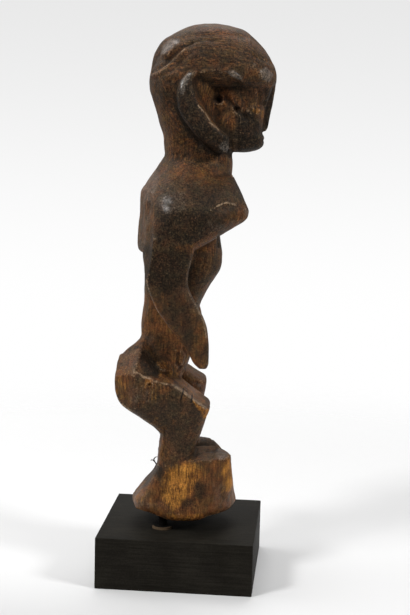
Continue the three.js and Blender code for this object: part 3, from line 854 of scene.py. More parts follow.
# Dark patina, and painted shade where a recess or a side turned from the light is darkened
DARK_PATINA_AND_SHADE = [
    ([(0, 192), (14, 194), (18, 186), (14, 181), (0, 181)], 0.6, 2),
    ([(5, 58), (8, 63.5), (15, 63.5), (17, 58)], 1, 0.8, LEFT),
    ([(-4, 101), (12, 97), (13, 80), (-2, 82)], 0.42, 2, LEFT),
    ([(4.3, 51), (11, 49.7), (11.6, 43.3), (7.4, 41.2), (4.4, 43.6)], 0.86, 1.2, RIGHT),
    ([(-2.2, 42.1), (6.4, 42.8), (4.5, 39.3), (-1.1, 35.2)], 0.9, 1.2, RIGHT),
    # Painted shade: the back of the ankle
    ([(-13.6, 58), (-9.4, 56.8), (-9.3, 52.4), (-12.1, 49.8), (-14.6, 51.8)], 1, 1),
    ([(-22, 164), (1, 164), (0, 150), (-6, 142), (-20, 146)], 0.9, 2),
    ([(-14, 181), (12, 181.5), (15.5, 175.8), (8.2, 168.9), (0.8, 165), (-15, 166)], 0.8, 2),
    ([(16, 240.5), (29, 240.5), (29, 233), (22, 232), (17, 235)], 0.75, 1),
    ([(29.6, 237), (36.6, 238), (36.1, 229.5), (30.5, 229)], 0.7, 0.7),
    ([(9, 234), (14, 234), (14.5, 229), (9, 229)], 0.8, 1),
    ([(6, 122), (10, 118), (10, 112), (-3, 124), (-14, 140), (-4, 146), (4, 134)], 0.42, 2),
    ([(8, 58), (12, 62.5), (14, 70), (22, 64), (20, 57.5)], 0.4, 0.8),
    ([(21.1, 225.2), (25.3, 225.8), (29.5, 223.3), (32.2, 220.3), (35, 216), (35, 208),
      (21.6, 207)], 1, 0.7),
    # Dirt and painted shade: the sunken facet beside the hip
    ([(-21.7, 112.4), (-22.3, 107.4), (-20.2, 103.4), (-13.3, 100.9), (-13.3, 103.4), (-14.8, 107.5),
      (-18, 113)], 1, 0.8),
    ([(15.2, 234), (22, 229), (25, 223), (22, 223), (14, 231)], 0.6, 1),
    ([(-21, 121), (-10, 122), (-5, 113), (-8, 106), (-15, 107), (-20, 109)], 0.62, 2),
    ([(18, 262), (33, 257), (39, 247), (31, 246), (21, 252)], 0.42, 2.5),
    ([(-16, 256), (-8, 264), (10, 270), (6, 262), (-6, 258)], 0.35, 2.5),
    ([(-12, 250), (0, 266), (20, 266), (34, 254), (20, 247), (0, 248)], 0.27, 3),
    ([(-23, 243), (-10, 243), (-8, 228), (-22, 228)], 0.6, 3),
    # Painted shade: the side of the nose and the front of the face beside it
    ([(33.5, 238), (39, 238), (38, 217), (34.6, 217)], 0.9, 0.7),
    ([(12.6, 169), (14.6, 169), (15.2, 161.6), (13.2, 161.6)], 1, 0.3),
    ([(6, 239.6), (22, 240), (22, 235.5), (10, 236)], 0.6, 1.2),
    ([(-7, 240), (0, 241), (2, 230), (9, 219), (18, 214), (18, 206), (8, 206), (-2, 214),
      (-8, 226)], 1, 0.8),
]
# Polished spots: a gloss coat, and a painted sheen that draws their colour towards grey
GLOSS_AND_PAINTED_SHEEN = [
    ([(-15.7, 251.7), (-15, 255.6), (-11.2, 259.1), (-6.6, 259.5), (-6.1, 257.3), (-11.1, 253.4),
      (-14.1, 251)], 0.72, 0.5),
    ([(-15.2, 179.9), (-16.7, 184.4), (-14, 188.6), (-8.5, 190.6), (-2.1, 190.3), (-0.2, 185.8),
      (-1.4, 180.2), (-9.2, 177.7)], 0.45, 1.5),
    ([(-14.8, 183.5), (-11.1, 184.5), (-7.5, 180.1), (-11, 178.4)], 0.66, 0.8),
    ([(-14, 176), (-6, 175), (-4, 166), (-16, 160), (-18, 168)], 0.25, 2),
    ([(-5.9, 233.4), (-5.8, 239.6), (-2.5, 243.4), (0.2, 243.4), (-2.2, 239.5), (-4.3, 233.4)], 1, 0.4),
    ([(14.5, 244.6), (18.3, 245.2), (23, 241.7), (21.5, 240.3), (16.8, 242.6)], 1, 0.4),
    ([(8, 245), (14.5, 244.6), (16.8, 243), (9, 243.6)], 0.4, 0.4),
    ([(30.6, 245.2), (33.6, 247.4), (37.6, 243.6), (35.6, 240), (32, 241.2)], 1, 0.5),
    ([(25, 252), (32, 248), (34, 244), (28, 243)], 0.3, 1),
    ([(22, 247), (30, 250), (31, 245), (24, 243)], 0.35, 1.2),
    ([(6, 181), (16, 177), (27, 182), (26, 176), (12, 169), (2, 165)], 0.35, 2),
    ([(24, 183), (29, 181), (29, 177), (25, 178)], 0.6, 0.8),
    (BACK_FACET, 0.5, 1),
    ([(12, 211), (16, 214), (18, 209), (14, 207)], 0.75, 1),
    ([(14, 62), (18, 67), (22, 63), (18, 60)], 0.5, 0.8),
    ([(-3, 97), (8, 93), (11, 89), (3, 91.5)], 0.5, 0.8),
    ([(-34, 104), (-24, 104), (-20, 114), (-30, 113)], 0.35, 1),
    ([(8, 54), (18, 54), (20, 36), (8, 36)], 0.3, 2),
    ([(-28, 43), (-15, 45), (-12, 35), (-26, 33)], 0.5, 2, RIGHT),
    ([(12, 50), (20, 52), (27, 40), (24, 34), (12, 36)], 0.42, 2.5, RIGHT),
    ([(-28, 100), (-14, 99), (-12, 88), (-28, 88)], 0.45, 2.5),
]
HANDLED = [
    ([(-17, 143), (0, 143), (4, 136), (9, 131), (12, 118), (12, 108), (5, 105), (-3, 116),
      (-12, 128)], 1, 1.5),
    ([(-26, 186), (-17, 186), (-17, 160), (-26, 160)], 0.8, 1.5),
    ([(0, 199), (20, 199), (18, 186), (-2, 186)], 0.6, 3),
    ([(6, 181), (28, 184), (28, 175), (14, 170)], 0.7, 1.5),
    ([(-36, 112), (-24, 106), (-20, 96), (-26, 84), (-36, 92)], 0.6, 2),
    ([(-8, 104), (10, 92), (4, 91), (-10, 99)], 0.7, 1),
    ([(8, 67), (24, 67), (24, 60), (8, 61)], 0.6, 1),
    ([(10, 59), (26, 59), (29, 34), (8, 33), (12, 44)], 1.3, 2, RIGHT),
    ([(-28, 46), (-14, 48), (-10, 40), (-12, 33), (-28, 33)], 0.9, 2, RIGHT),
]
RINGED = [
    ([(-30, 200), (-30, 270), (45, 270), (45, 200)], 1, 2),
    ([(-30, 206), (-30, 150), (45, 150), (45, 206)], 0.35, 2),
    ([(-40, 112), (-40, 60), (20, 60), (20, 104)], 0.3, 2),
]
WORN_AREAS = {
    "brown": BROWN, "bare": OCHRE_BARE, "dark_and_shaded": DARK_PATINA_AND_SHADE, "gloss_and_painted_sheen": GLOSS_AND_PAINTED_SHEEN, "handled": HANDLED,
    "ringed": RINGED,
}

# Edges rubbed light, and painted highlights along ridges and rims, seen from the side: points as x and z,
# half width, strength, the least distance out from the middle, one side alone
RUBBED_AND_HIGHLIT = [
    ([(-24.9, 104.6), (-20.5, 102.2), (-17, 101.2)], 0.45, 1, 22, RIGHT),
    ([(-17, 101.2), (-9.9, 99), (-5.5, 98.2)], 0.35, 0.3, 22, RIGHT),
    ([(-13.1, 57), (-13.8, 53.6), (-15.5, 50.5), (-17.8, 46.6), (-20, 43.8),
      (-22.6, 40.8)], 0.6, 0.8, 17.5, RIGHT),
    ([(-32.4, 89.4), (-24.6, 83.4), (-17.7, 79.3), (-12.1, 75.5)], 0.9, 0.55, 18, RIGHT),
    # Painted highlight: the shine on the forehead
    ([(32.6, 243.8), (34, 242.4)], 1.8, 1, 6),
    ([(-5, 97.4), (-1.4, 95), (2.6, 92), (9.6, 87)], 0.4, 0.9, 22, RIGHT),
    # Painted highlight: the light line along the breast's ridge
    ([(12.5, 183.4), (16.5, 184.8), (19.3, 184.2), (21, 183.4)], 0.45, 1, 12),
    ([(2.6, 228.6), (6.5, 224.6), (9, 220.4), (12.8, 217.8), (16.6, 216)], 0.45, 0.9, 23),
    # Painted highlights: the light lines along the arm's front and back edges
    ([(1, 157), (-0.2, 152), (-0.6, 147), (1.1, 141.7), (4.2, 136), (7.5, 130), (9, 122)], 0.55, 0.8, 30.2),
    ([(-19.8, 150), (-18.2, 141.7), (-15.8, 136), (-11.6, 130), (-7.2, 124)], 0.55, 0.7, 30.2),
    ([(-14.6, 245), (-10.4, 248.2), (-7.6, 251.4), (-4.6, 254)], 0.35, 0.7, 4, RIGHT),
    ([(-19, 243.6), (-13.6, 246.4)], 0.35, 0.7, 4, RIGHT),
    ([(29.8, 251.5), (32.4, 250.6), (36.1, 249.1)], 0.35, 0.7, 4, RIGHT),
    ([(-7.9, 103.2), (-11.4, 103.4), (-13.8, 105.4)], 0.35, 0.8, 10, RIGHT),
    ([(-5.7, 105.4), (-0.4, 101), (8.4, 93.2)], 0.4, 0.5, 8, RIGHT),
    ([(10.5, 32.8), (18, 34), (24.5, 36.4)], 0.7, 0.45, 4, RIGHT),
]

# Loose fibres at the ankle: their points in the figure's frame
FIBRES = [
    [(-12.2, -8, 52), (-13.6, -8.2, 54.4), (-14.8, -8.4, 56.2), (-16, -8.6, 57), (-16.6, -8.6, 56.4)],
    [(-14.6, -8.4, 55.8), (-15.0, -8.4, 57.2), (-14.2, -8.2, 58.2), (-13.2, -8.0, 58.4)],
]
FIBRE_RADIUS = 0.36

# Drying cracks across the right lap: start and end as x and z, and the least distance out
CRACKS = [((-1.2, 95.8), (-2.6, 90.8)), ((3.0, 92.8), (2.3, 89.6))]
CRACK_OUT = 15

# Width of an area's border for each step of softness, to either side of its outline
BORDER = 1.6

# Heights over which the crown's end grain takes over from the upright grain
CROWN_FROM, CROWN_TO = 242, 248

# How far a point stands out of its neighbours, or in, where an edge or a hollow is full, and rounds of blur
EDGE_FULL, EDGE_BLUR = 0.05, 2
HOLLOW_FULL, HOLLOW_BLUR = 0.012, 12
# Strength of the painted shade in the groove between the feet, against a full hollow
GROOVE_SHADE = 1.5

# The heel's sooty back: foremost place, heights, reach to the sides, size and seed of its ragged border
HEEL_FOREMOST = -11
HEEL_HEIGHTS = (40, 45, 53, 58)
HEEL_SIDES = (12.5, 16.5)
HEEL_RAGGED, HEEL_RAG_SIZE, HEEL_SEED = 2.2, 4.0, 21

# The groove between the feet, darkened as painted shade: where it starts and ends across, along and up
GROOVE_ACROSS = (-6.6, -5.6, 8.0, 10.5)
GROOVE_ALONG = (-8.0, 0.0)
GROOVE_HEIGHTS = (50.0, 54.0, 63.0, 65.0)


def patch(points, areas):
    """The strongest of several areas, fading across their borders."""
    most = np.zeros(len(points))
    for outline, strength, soft, *sides in areas:
        there = smooth_step(polygon_depth(points, outline), -BORDER * soft, BORDER * soft)
        on_side = np.isin(np.sign(points[:, 1]), sides or BOTH)
        most = np.maximum(most, strength * there * on_side)
    return most


def rubbed_and_highlit_lines(points):
    """Nearness to rubbed edges and painted highlight lines: strength times a bell curve of distance over
    half width.
    """
    most = np.zeros(len(points))
    out = np.abs(points[:, 1])
    for chain, half_width, strength, least, *sides in RUBBED_AND_HIGHLIT:
        away = chain_distance(points, chain)
        near = np.exp(-((away / half_width) ** 2)) * smooth_step(out, least - 2, least + 1)
        most = np.maximum(most, strength * near * np.isin(np.sign(points[:, 1]), sides or BOTH))
    return most


def heel_back(points):
    """1 on the back of the heel, fading raggedly out above, below and towards its sides."""
    x, y, z = points.T
    ragged = HEEL_RAGGED * lattice_noise(points, HEEL_RAG_SIZE, HEEL_SEED)
    height = window(z + ragged, *HEEL_HEIGHTS)
    return (x < HEEL_FOREMOST) * height * (1 - smooth_step(np.abs(y) + ragged, *HEEL_SIDES))


def crack_places(points):
    """Distance across the nearest crack's line, with a sign, and how far within its ends a point lies."""
    far = 9.0
    across = np.full(len(points), far)
    within = np.full(len(points), -far)
    for start, end in np.array(CRACKS):
        length = np.linalg.norm(end - start)
        along = (end - start) / length
        offset = points[:, [0, 2]] - start
        side = offset @ (-along[1], along[0])
        inside = np.minimum(offset @ along, length - offset @ along)
        closer = (np.abs(side) < np.abs(across)) & (points[:, 1] < -CRACK_OUT)
        across = np.where(closer, side, across)
        within = np.where(closer, inside, within)
    return across, within


def between_feet(points):
    """1 in the groove between the feet, where shade is painted, fading out of it."""
    x, y, z = points.T
    return window(y, *GROOVE_ACROSS) * smooth_step(x, *GROOVE_ALONG) * window(z, *GROOVE_HEIGHTS)


def mark_wear(mesh, points, edges):
    """Stores on the skin where it is worn and where light or shade is painted, for the material to read.

    The areas are brown, bare, dark patina with painted shade, gloss with painted sheen, handled and ringed.
    Rubbed is nearness to the rubbed edges and painted highlight lines, sooty is the heel's back and level
    the crown. Across and within are places about the cracks. Edge and hollow are how far a point stands out
    of its neighbours or lies in; hollow also carries the painted shade of the groove between the feet.
    """
    for name, areas in WORN_AREAS.items():
        set_attribute(mesh, name, patch(points, areas))
    set_attribute(mesh, "rubbed_and_highlit", rubbed_and_highlit_lines(points))
    set_attribute(mesh, "sooty", heel_back(points))
    set_attribute(mesh, "level", smooth_step(points[:, 2], CROWN_FROM, CROWN_TO))
    across, within = crack_places(points)
    set_attribute(mesh, "across", across)
    set_attribute(mesh, "within", within)
    proud = np.einsum("ij,ij->i", points - neighbour_mean(points, edges), read_normals(mesh))
    set_attribute(mesh, "edge", np.clip(blurred(proud, edges, EDGE_BLUR) / EDGE_FULL, 0, 1))
    hollow = np.clip(-blurred(proud, edges, HOLLOW_BLUR) / HOLLOW_FULL, 0, 1)
    set_attribute(mesh, "hollow", np.maximum(hollow, GROOVE_SHADE * between_feet(points)))


def math_operator(operation, turned=False):
    """An operator between a Value and another value or number: it adds the Math node that works it out."""
    def operator(self, other):
        first, second = (other, self) if turned else (self, other)
        return self.shade.node("ShaderNodeMath", {"operation": operation}, {0: first, 1: second})
    return operator


class Value:
    """A shader value: sums on it add the Math nodes that work them out."""

    __add__, __radd__ = math_operator("ADD"), math_operator("ADD", turned=True)
    __sub__, __rsub__ = math_operator("SUBTRACT"), math_operator("SUBTRACT", turned=True)
    __mul__, __rmul__ = math_operator("MULTIPLY"), math_operator("MULTIPLY", turned=True)
    __truediv__, __rtruediv__ = math_operator("DIVIDE"), math_operator("DIVIDE", turned=True)

    def __init__(self, shade, socket):
        self.shade = shade
        self.socket = socket

    def size(self):
        """The value without its sign."""
        return self.shade.node("ShaderNodeMath", {"operation": "ABSOLUTE"}, {0: self})

    def held(self, low, high):
        """The value, kept between low and high."""
        return self.shade.node("ShaderNodeClamp", {}, {"Value": self, "Min": low, "Max": high})

    def clear_step(self, low=0.0, high=1.0):
        """0 below low, 1 above high, smooth between."""
        return self.shade.node(
            "ShaderNodeMapRange", {"interpolation_type": "SMOOTHSTEP"},
            {"Value": self, "From Min": low, "From Max": high},
        )


class Shade:
    """The nodes of one material or of the surroundings."""

    def __init__(self, owner):
        owner.use_nodes = True
        self.owner = owner
        self.tree = owner.node_tree
        self.tree.nodes.clear()

    def node(self, kind, settings=None, inputs=None, output=0):
        """Adds a node: its settings first, then a value or a link for each named or numbered socket."""
        made = self.tree.nodes.new(kind)
        for key, value in (settings or {}).items():
            setattr(made, key, value)
        for key, value in (inputs or {}).items():
            self.feed(made.inputs[key], value)
        return Value(self, made.outputs[output]) if made.outputs else None

    def feed(self, socket, value):
        """Links a value to a socket, or sets it to a number or a colour."""
        if isinstance(value, Value):
            self.tree.links.new(value.socket, socket)
        elif isinstance(value, tuple) and len(value) == 3 and socket.type == "RGBA":
            socket.default_value = (*value, 1)
        else:
            socket.default_value = value

    def mix(self, first, second, share):
        """Colour first where share is 0, second where it is 1."""
        return self.node("ShaderNodeMix", {"data_type": "RGBA"}, {0: share, 6: first, 7: second}, output=2)

    def vector(self, operation, first, second=None, output=0):
        """A Vector Math node. Output 1 is the number that a length or a dot product gives."""
        inputs = {0: first} if second is None else {0: first, 1: second}
        return self.node("ShaderNodeVectorMath", {"operation": operation}, inputs, output)

    def scaled(self, colour, factor):
        """A colour made lighter or darker by a factor."""
        return self.node("ShaderNodeVectorMath", {"operation": "SCALE"}, {0: colour, "Scale": factor})

    def attribute(self, name):
        """A value stored on the mesh."""
        return self.node("ShaderNodeAttribute", {"attribute_name": name}, output=2)

    def place(self, stretch=(1, 1, 1)):
        """Object coordinates in millimetres, multiplied by stretch."""
        coordinates = self.node("ShaderNodeTexCoord", output=3)
        return self.vector("MULTIPLY", coordinates, tuple(part / MM for part in stretch))

    def noise(self, size, detail=3.0, rough=0.55, stretch=(1, 1, 1)):
        """Noise from 0 to 1 whose features are about size millimetres."""
        return self.node(
            "ShaderNodeTexNoise", {},
            {"Vector": self.place(stretch), "Scale": 1 / size, "Detail": detail, "Roughness": rough},
        )

    def bump(self, height):
        """The normal of a surface raised by a height in millimetres."""
        return self.node("ShaderNodeBump", {}, {"Strength": 1.0, "Distance": MM, "Height": height})

    def finish(self, surface):
        """Ends the material in a Principled shader with the given sockets."""
        shader = self.node("ShaderNodeBsdfPrincipled", {}, surface)
        self.node("ShaderNodeOutputMaterial", {}, {"Surface": shader})
        return self.owner


def new_shade(name):
    """The nodes of a new material."""
    return Shade(bpy.data.materials.new(name))


# Colours of the wood, as linear light
PATINA_BLACK = (0.017, 0.0110, 0.0064)
PATINA_BROWN = (0.098, 0.057, 0.030)
UNDER_DARK = (0.040, 0.017, 0.006)
UNDER_LIGHT = (0.215, 0.090, 0.028)
OCHRE_SHADE = (0.12, 0.042, 0.008)
OCHRE = (0.52, 0.225, 0.040)
# Edges worn light, and the painted highlights along ridges and rims
WORN_EDGE_AND_HIGHLIGHT = (0.32, 0.215, 0.13)
# A grey standing in for the lamps' sheen on polished spots: painted sheen
POLISH_AND_PAINTED_SHEEN = (0.150, 0.128, 0.106)
# Dark of dirt and of painted shade in hollows, grooves and cracks
HOLLOW_DIRT_AND_SHADE = (0.007, 0.0045, 0.0028)
GLEAM = (1.0, 0.87, 0.74)
UNDER_FLECK = (0.105, 0.060, 0.032)
REDDISH = (1.16, 0.93, 0.86)
GREENISH = (0.90, 1.04, 0.98)
BLACK_STAIN = (0.0068, 0.0061, 0.0047)
BLACK_STAIN_LIT = (0.0240, 0.0218, 0.0170)
# Blackened metal, darkened further as painted shade under the figure; a painted highlight for the foot's
# near rim
BLACKENED_METAL_AND_SHADE = (0.005, 0.004, 0.003)
PAINTED_RIM_HIGHLIGHT = (0.22, 0.15, 0.09)
FLOOR_FAR = (0.79, 0.79, 0.79)
# The floor's painted shade towards the camera
FLOOR_PAINTED_SHADE = (0.565, 0.565, 0.565)
WHITE = (1.0, 1.0, 1.0)

# The growth rings: the log's heart, and the width of a ring
LOG_HEART = (6.0, 34.0, 0.0)
RING_WIDTH = 0.85

# How much noise is drawn out along the grain: upright, and on the crown for fine fibres and for streaks
UPRIGHT = (1, 1, 0.08)
CROWN_FIBRES = (0.12, 1, 1)
CROWN_STREAKS = (0.15, 1, 1)

# Half width of a crack, and of a crease, the latter as a step of its noise
CRACK_HALF_WIDTH = 0.4
CREASE_HALF_WIDTH = 0.05


def grain_noise(shade, size, detail, crown, level):
    """Noise drawn out upright, and along x where level is 1, on the crown's end grain."""
    upright = shade.noise(size, detail, 0.65, UPRIGHT)
    return upright * (1 - level) + shade.noise(size, detail, 0.65, crown) * level


def carved_wood():
    """Dark handled patina over brown wood, ochre where it is broken or rubbed raw."""
    shade = new_shade("carved_wood")
    brown, bare, gloss_and_painted_sheen, ringed, edge, hollow, level = (
        shade.attribute(name) for name in ("brown", "bare", "gloss_and_painted_sheen", "ringed", "edge", "hollow", "level")
    )
    dark_and_shaded = shade.attribute("dark_and_shaded") + shade.attribute("sooty")
    cloud = shade.noise(11.0, 4.0, 0.6)
    blotch = shade.noise(4.5, 4.0, 0.6)
    mottle = shade.noise(1.8, 5.0, 0.7)
    grit = shade.noise(0.75, 3.0, 0.6)
    fleck = shade.noise(1.1, 2.0, 0.7)
    fibre = grain_noise(shade, 0.6, 3.0, CROWN_FIBRES, level)
    streak = grain_noise(shade, 1.5, 4.0, CROWN_STREAKS, level)
    grain = fibre * 0.5 + streak * 0.5
    # The same noises about 0, lighter above it and darker below
    blotched, mottled, gritty, fibrous = blotch - 0.5, mottle - 0.5, grit - 0.5, fibre - 0.5
    crease_noise = shade.noise(1.3, 3.0, 0.6, (1, 1, 0.2))
    crease = (1 - (crease_noise - 0.5).size() / CREASE_HALF_WIDTH).clear_step()

    from_heart = shade.vector("SUBTRACT", shade.place((1, 1, 0)), LOG_HEART)
    radius = shade.vector("LENGTH", from_heart, output=1)
    warped = radius / RING_WIDTH + shade.noise(24.0, 2.0) * 5.0 + mottle * 1.6
    ring = shade.node("ShaderNodeMath", {"operation": "PINGPONG"}, {0: warped, 1: 0.5}) * 2
    late_wood = (ring + gritty * 2.0 + blotched * 2.8 - 0.15).clear_step(0.4, 1.1) * ringed

    lit = grain * 1.2 + blotch * 0.8 + mottle * 0.5 - late_wood * 0.3 - 0.75
    under = shade.mix(UNDER_DARK, UNDER_LIGHT, lit.clear_step())
    thickness = cloud * 0.8 + mottle * 0.8 + grit * 0.4 - 0.5
    patina = shade.mix(PATINA_BLACK, PATINA_BROWN, thickness.clear_step(0.1, 1.0))
    thin = (cloud - 0.5) * 1.3 + blotched * 1.6 + mottled * 0.45
    thin = thin + (gritty * 0.6 + (grain - 0.5) * 0.9) * brown
    worn_share = (brown * 0.9 + thin - late_wood * 0.3 + 0.06).clear_step(-0.1, 1.1)
    tone = shade.mix(patina, under, worn_share)
    raw_tone = shade.mix(OCHRE_SHADE, OCHRE, (streak + fibre * 1.4 + blotch * 1.6 - 1.5).clear_step())
    bare_share = bare + (streak - 0.5) * 1.1 + blotched * 0.9 + fibrous * 0.7
    bare_share = bare_share.clear_step(0.15, 1.05)
    tone = shade.mix(tone, raw_tone, bare_share)
    # Dark patina, with painted shade in some of its areas
    dark_and_shaded_share = (dark_and_shaded + mottled * 0.7 + blotched * 0.6).clear_step(0.15, 1.0)
    tone = shade.mix(tone, shade.scaled(patina, 0.31), dark_and_shaded_share * 0.85)
    contrast = 1 + ringed * 0.6 - shade.attribute("handled") * 0.4
    flecked = (fleck + blotched * 0.3).clear_step(0.56, 0.74) * contrast.held(0.3, 1.2)
    tone = shade.mix(tone, UNDER_FLECK, flecked * (0.22 + dark_and_shaded_share * 0.2))
    tint_share = (shade.noise(5.0, 4.0, 0.65) + mottled * 0.4).clear_step(0.3, 0.7)
    tint = shade.mix(shade.mix(REDDISH, GREENISH, tint_share), WHITE, bare_share * 0.8)
    tone = shade.vector("MULTIPLY", tone, tint)
    # Darker in hollows and in the groove between the feet: dirt and painted shade
    dirt_and_shade = (hollow + mottled * 0.6).clear_step(0.25, 1.1)
    tone = shade.mix(tone, HOLLOW_DIRT_AND_SHADE, dirt_and_shade * 0.6)
    tone = shade.mix(tone, HOLLOW_DIRT_AND_SHADE, crease * (mottle * 1.4 - 0.35).clear_step() * 0.7)
    # Edges worn light, and painted highlights on ridges, rims and the forehead
    rubbed_and_highlit = (edge * 0.6 + shade.attribute("rubbed_and_highlit") + mottled * 1.2 + gritty * 1.2).clear_step(0.35, 1.1)
    tone = shade.mix(tone, WORN_EDGE_AND_HIGHLIGHT, rubbed_and_highlit * 0.7)
    # Polished spots: the coat gives real gloss, and the colour is drawn towards grey as painted sheen
    polish_and_painted_sheen = (gloss_and_painted_sheen * 1.15 + mottled * 0.8 + gritty * 0.4).clear_step(0.3, 1.15)
    tone = shade.mix(tone, POLISH_AND_PAINTED_SHEEN, polish_and_painted_sheen * 0.55)
    across = shade.attribute("across") + mottled * 0.5
    crack = (1 - across * across / CRACK_HALF_WIDTH**2).clear_step(0.0, 0.5)
    crack = crack * shade.attribute("within").clear_step(0.0, 0.6)
    tone = shade.mix(tone, HOLLOW_DIRT_AND_SHADE, crack)
    tone = shade.mix(tone, PATINA_BLACK, late_wood * 0.45)
    detail = gritty * (3.2 - brown * 0.8 + dark_and_shaded * 2.0) + fibrous * 1.4
    detail = detail + mottled * (1.2 + dark_and_shaded * 1.2) + (fleck - 0.5) * (1.6 - brown)
    tone = shade.scaled(tone, (1 + detail * contrast).held(0.25, 2.6))

    rough = 0.52 + bare_share * 0.12 + dirt_and_shade * 0.15 + gritty * 0.3 + mottled * 0.3
    relief = fibre * 0.12 + mottle * 0.30 + grit * 0.16 - late_wood * 0.18
    relief = relief + bare_share * fibre * 0.3 - crack * 0.5 - crease * 0.08
    return shade.finish({
        "Base Color": tone, "Roughness": rough, "Normal": shade.bump(relief),
        "Specular IOR Level": 0.27, "Specular Tint": GLEAM,
        "Coat Weight": polish_and_painted_sheen * 0.7, "Coat Roughness": 0.27,
    })


def black_wood():
    """Matt black stain over fine straight grain."""
    shade = new_shade("black_wood")
    fibre = shade.noise(0.7, 4.0, 0.6, (0.05, 1, 1))
    grit = shade.noise(0.8, 2.0, 0.6)
    cloud = shade.noise(14.0, 3.0)
    lit = (fibre * 0.9 + cloud * 0.6 + grit * 0.5 - 0.6).clear_step(0.1, 0.9)
    return shade.finish({
        "Base Color": shade.mix(BLACK_STAIN, BLACK_STAIN_LIT, lit), "Roughness": 0.56 + cloud * 0.12,
        "Normal": shade.bump(fibre * 0.08 + grit * 0.05),
        "Specular IOR Level": 0.09, "Specular Tint": GLEAM,
    })


def pin_metal():
    """Black metal darkened as painted shade, with a painted highlight on the near rim of its foot."""
    shade = new_shade("pin_metal")
    spots = shade.noise(1.1, 4.0, 0.6)
    from_axis = shade.vector("SUBTRACT", shade.place((1, 1, 0)), (*PIN_PLACE, 0.0))
    radius = shade.vector("LENGTH", from_axis, output=1)
    depth = shade.node("ShaderNodeSeparateXYZ", {}, {0: from_axis}, output=1)
    # Painted highlight on the foot's near rim; the rest stays dark as painted shade
    painted_rim_highlight = radius.clear_step(4.3, 4.9) * (0 - depth).clear_step(0.5, 3.0) * (spots * 0.8 + 0.3)
    return shade.finish({
        "Base Color": shade.mix(BLACKENED_METAL_AND_SHADE, PAINTED_RIM_HIGHLIGHT, painted_rim_highlight), "Roughness": 0.65,
        "Normal": shade.bump(spots * 0.05), "Specular IOR Level": 0.15,
    })


def dress(piece, material):
    """Gives a piece its one material and says what it rides on and which finish it has."""
    piece.data.materials.clear()
    piece.data.materials.append(material)
    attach(piece, "root")


def plinth_block():
    """The plinth as a box of its node's size with every edge rounded."""
    low, high = (np.array(corner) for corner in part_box("plinth"))
    made = bmesh.new()
    bmesh.ops.create_cube(made, size=2)
    mesh = bpy.data.meshes.new("plinth_block")
    made.to_mesh(mesh)
    made.free()
    write_points(mesh, read_points(mesh) * (high - low) / 2 + (high + low) / 2)
    block = new_object("plinth_block", mesh)
    bevel = block.modifiers.new("rounded_edges", "BEVEL")
    bevel.width = PLINTH_ROUNDING * MM
    bevel.segments = 4
    with_modifiers(block)
    block.data.shade_smooth()
    return block


# The floor: radii of its rings in metres, and in millimetres where it fades away and where painted shade
# darkens it towards the camera
FLOOR_RINGS = (0.0, 0.1, 0.3, 1.0)
FLOOR_FADE = (150, 480)
FLOOR_SHADE_SPAN = (20, 150)
TOWARDS_CAMERA = (-0.4, -0.9, 0.0)


def lay_floor():
    """A wide pale floor, a disc of rings, painted darker towards the camera as shade."""
    angle = np.linspace(0, 2 * math.pi, RING_POINTS, endpoint=False)
    radius = np.array(FLOOR_RINGS)[:, None]
    points = np.stack([radius * np.cos(angle), radius * np.sin(angle), 0 * radius * angle], axis=-1)
    disc = mesh_from("floor", points.reshape(-1, 3), grid_faces(len(radius), len(angle), 0))
    floor = new_object("floor", disc)
    shade = new_shade("floor")
    seen = 1 - shade.vector("LENGTH", shade.place(), output=1).clear_step(*FLOOR_FADE)
    slope = shade.vector("DOT_PRODUCT", shade.place(), TOWARDS_CAMERA, output=1)
    # Painted shade: the floor grows darker towards the camera
    tone = shade.mix(FLOOR_FAR, FLOOR_PAINTED_SHADE, slope.clear_step(*FLOOR_SHADE_SPAN))
    floor.data.materials.append(shade.finish({"Base Color": tone, "Roughness": 0.9, "Alpha": seen}))


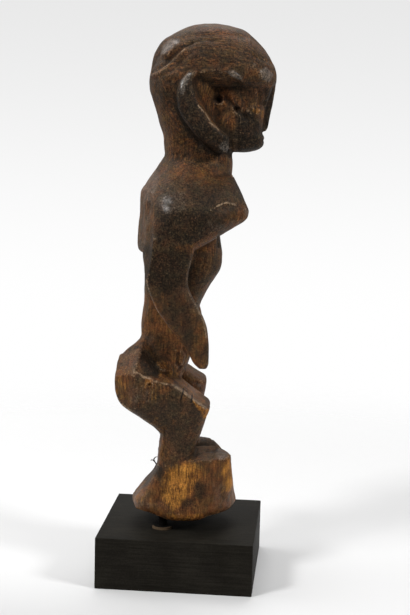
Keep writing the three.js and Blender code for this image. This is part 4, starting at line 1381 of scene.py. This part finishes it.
# Soft boxes of the studio: place and aim in metres, side, power in watts
MIDDLE = (0, 0, 0.15)
SOFT_BOXES = {
    "key_box": ((-0.6, -0.6, 0.85), MIDDLE, 0.22, 6.5),
    "left_box": ((-0.8, 0.15, 0.75), MIDDLE, 0.8, 4.6),
    "right_box": ((0.75, -0.35, 0.65), MIDDLE, 0.22, 4.8),
    "top_box": ((0, 0.2, 1.1), MIDDLE, 0.35, 0.5),
    "back_box": ((0, 0.9, 1.4), (0, 0.7, 0), 1.0, 10),
}


def soft_box(name, place, aim, size, watts):
    """A square area light at place, facing aim, both in metres."""
    data = bpy.data.lights.new(name, "AREA")
    data.shape = "SQUARE"
    data.size = size
    data.energy = watts
    light = bpy.data.objects.new(name, data)
    light.location = place
    light.rotation_mode = "QUATERNION"
    light.rotation_quaternion = (Vector(aim) - Vector(place)).to_track_quat("-Z", "Y")
    light.visible_camera = False
    SCENE.collection.objects.link(light)


def light_studio():
    """Bright surroundings behind and above, dim in front, and the soft boxes."""
    SCENE.world = bpy.data.worlds.new("studio")
    shade = Shade(SCENE.world)
    direction = shade.node("ShaderNodeTexCoord")
    parts = shade.node("ShaderNodeSeparateXYZ", {}, {0: direction}).socket.node.outputs
    back, up = Value(shade, parts[1]), Value(shade, parts[2])
    around = back.clear_step(-0.1, 0.9) * 0.40 + up.clear_step(0.2, 1.0) * 0.12 + 0.035
    seen = 1.0 - up.clear_step(-0.16, 0.12) * 0.2
    lit = shade.node("ShaderNodeBackground", {}, {"Color": WHITE, "Strength": around})
    shown = shade.node("ShaderNodeBackground", {}, {"Color": WHITE, "Strength": seen})
    is_seen = shade.node("ShaderNodeLightPath")
    both = shade.node("ShaderNodeMixShader", {}, {0: is_seen, 1: lit, 2: shown})
    shade.node("ShaderNodeOutputWorld", {}, {"Surface": both})
    for name, box in SOFT_BOXES.items():
        soft_box(name, *box)
    SCENE.view_settings.view_transform = "Standard"
    SCENE.view_settings.look = "None"


set_camera()
figure = figure_skin()
wood = carved_wood()
dress(figure, wood)
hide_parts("figure")
dress(loose_fibres(), wood)
block = plinth_block()
dress(block, black_wood())
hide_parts("plinth")
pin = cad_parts["mount_pin"]
pin.data.materials.clear()
pin.data.materials.append(pin_metal())
lay_floor()
light_studio()
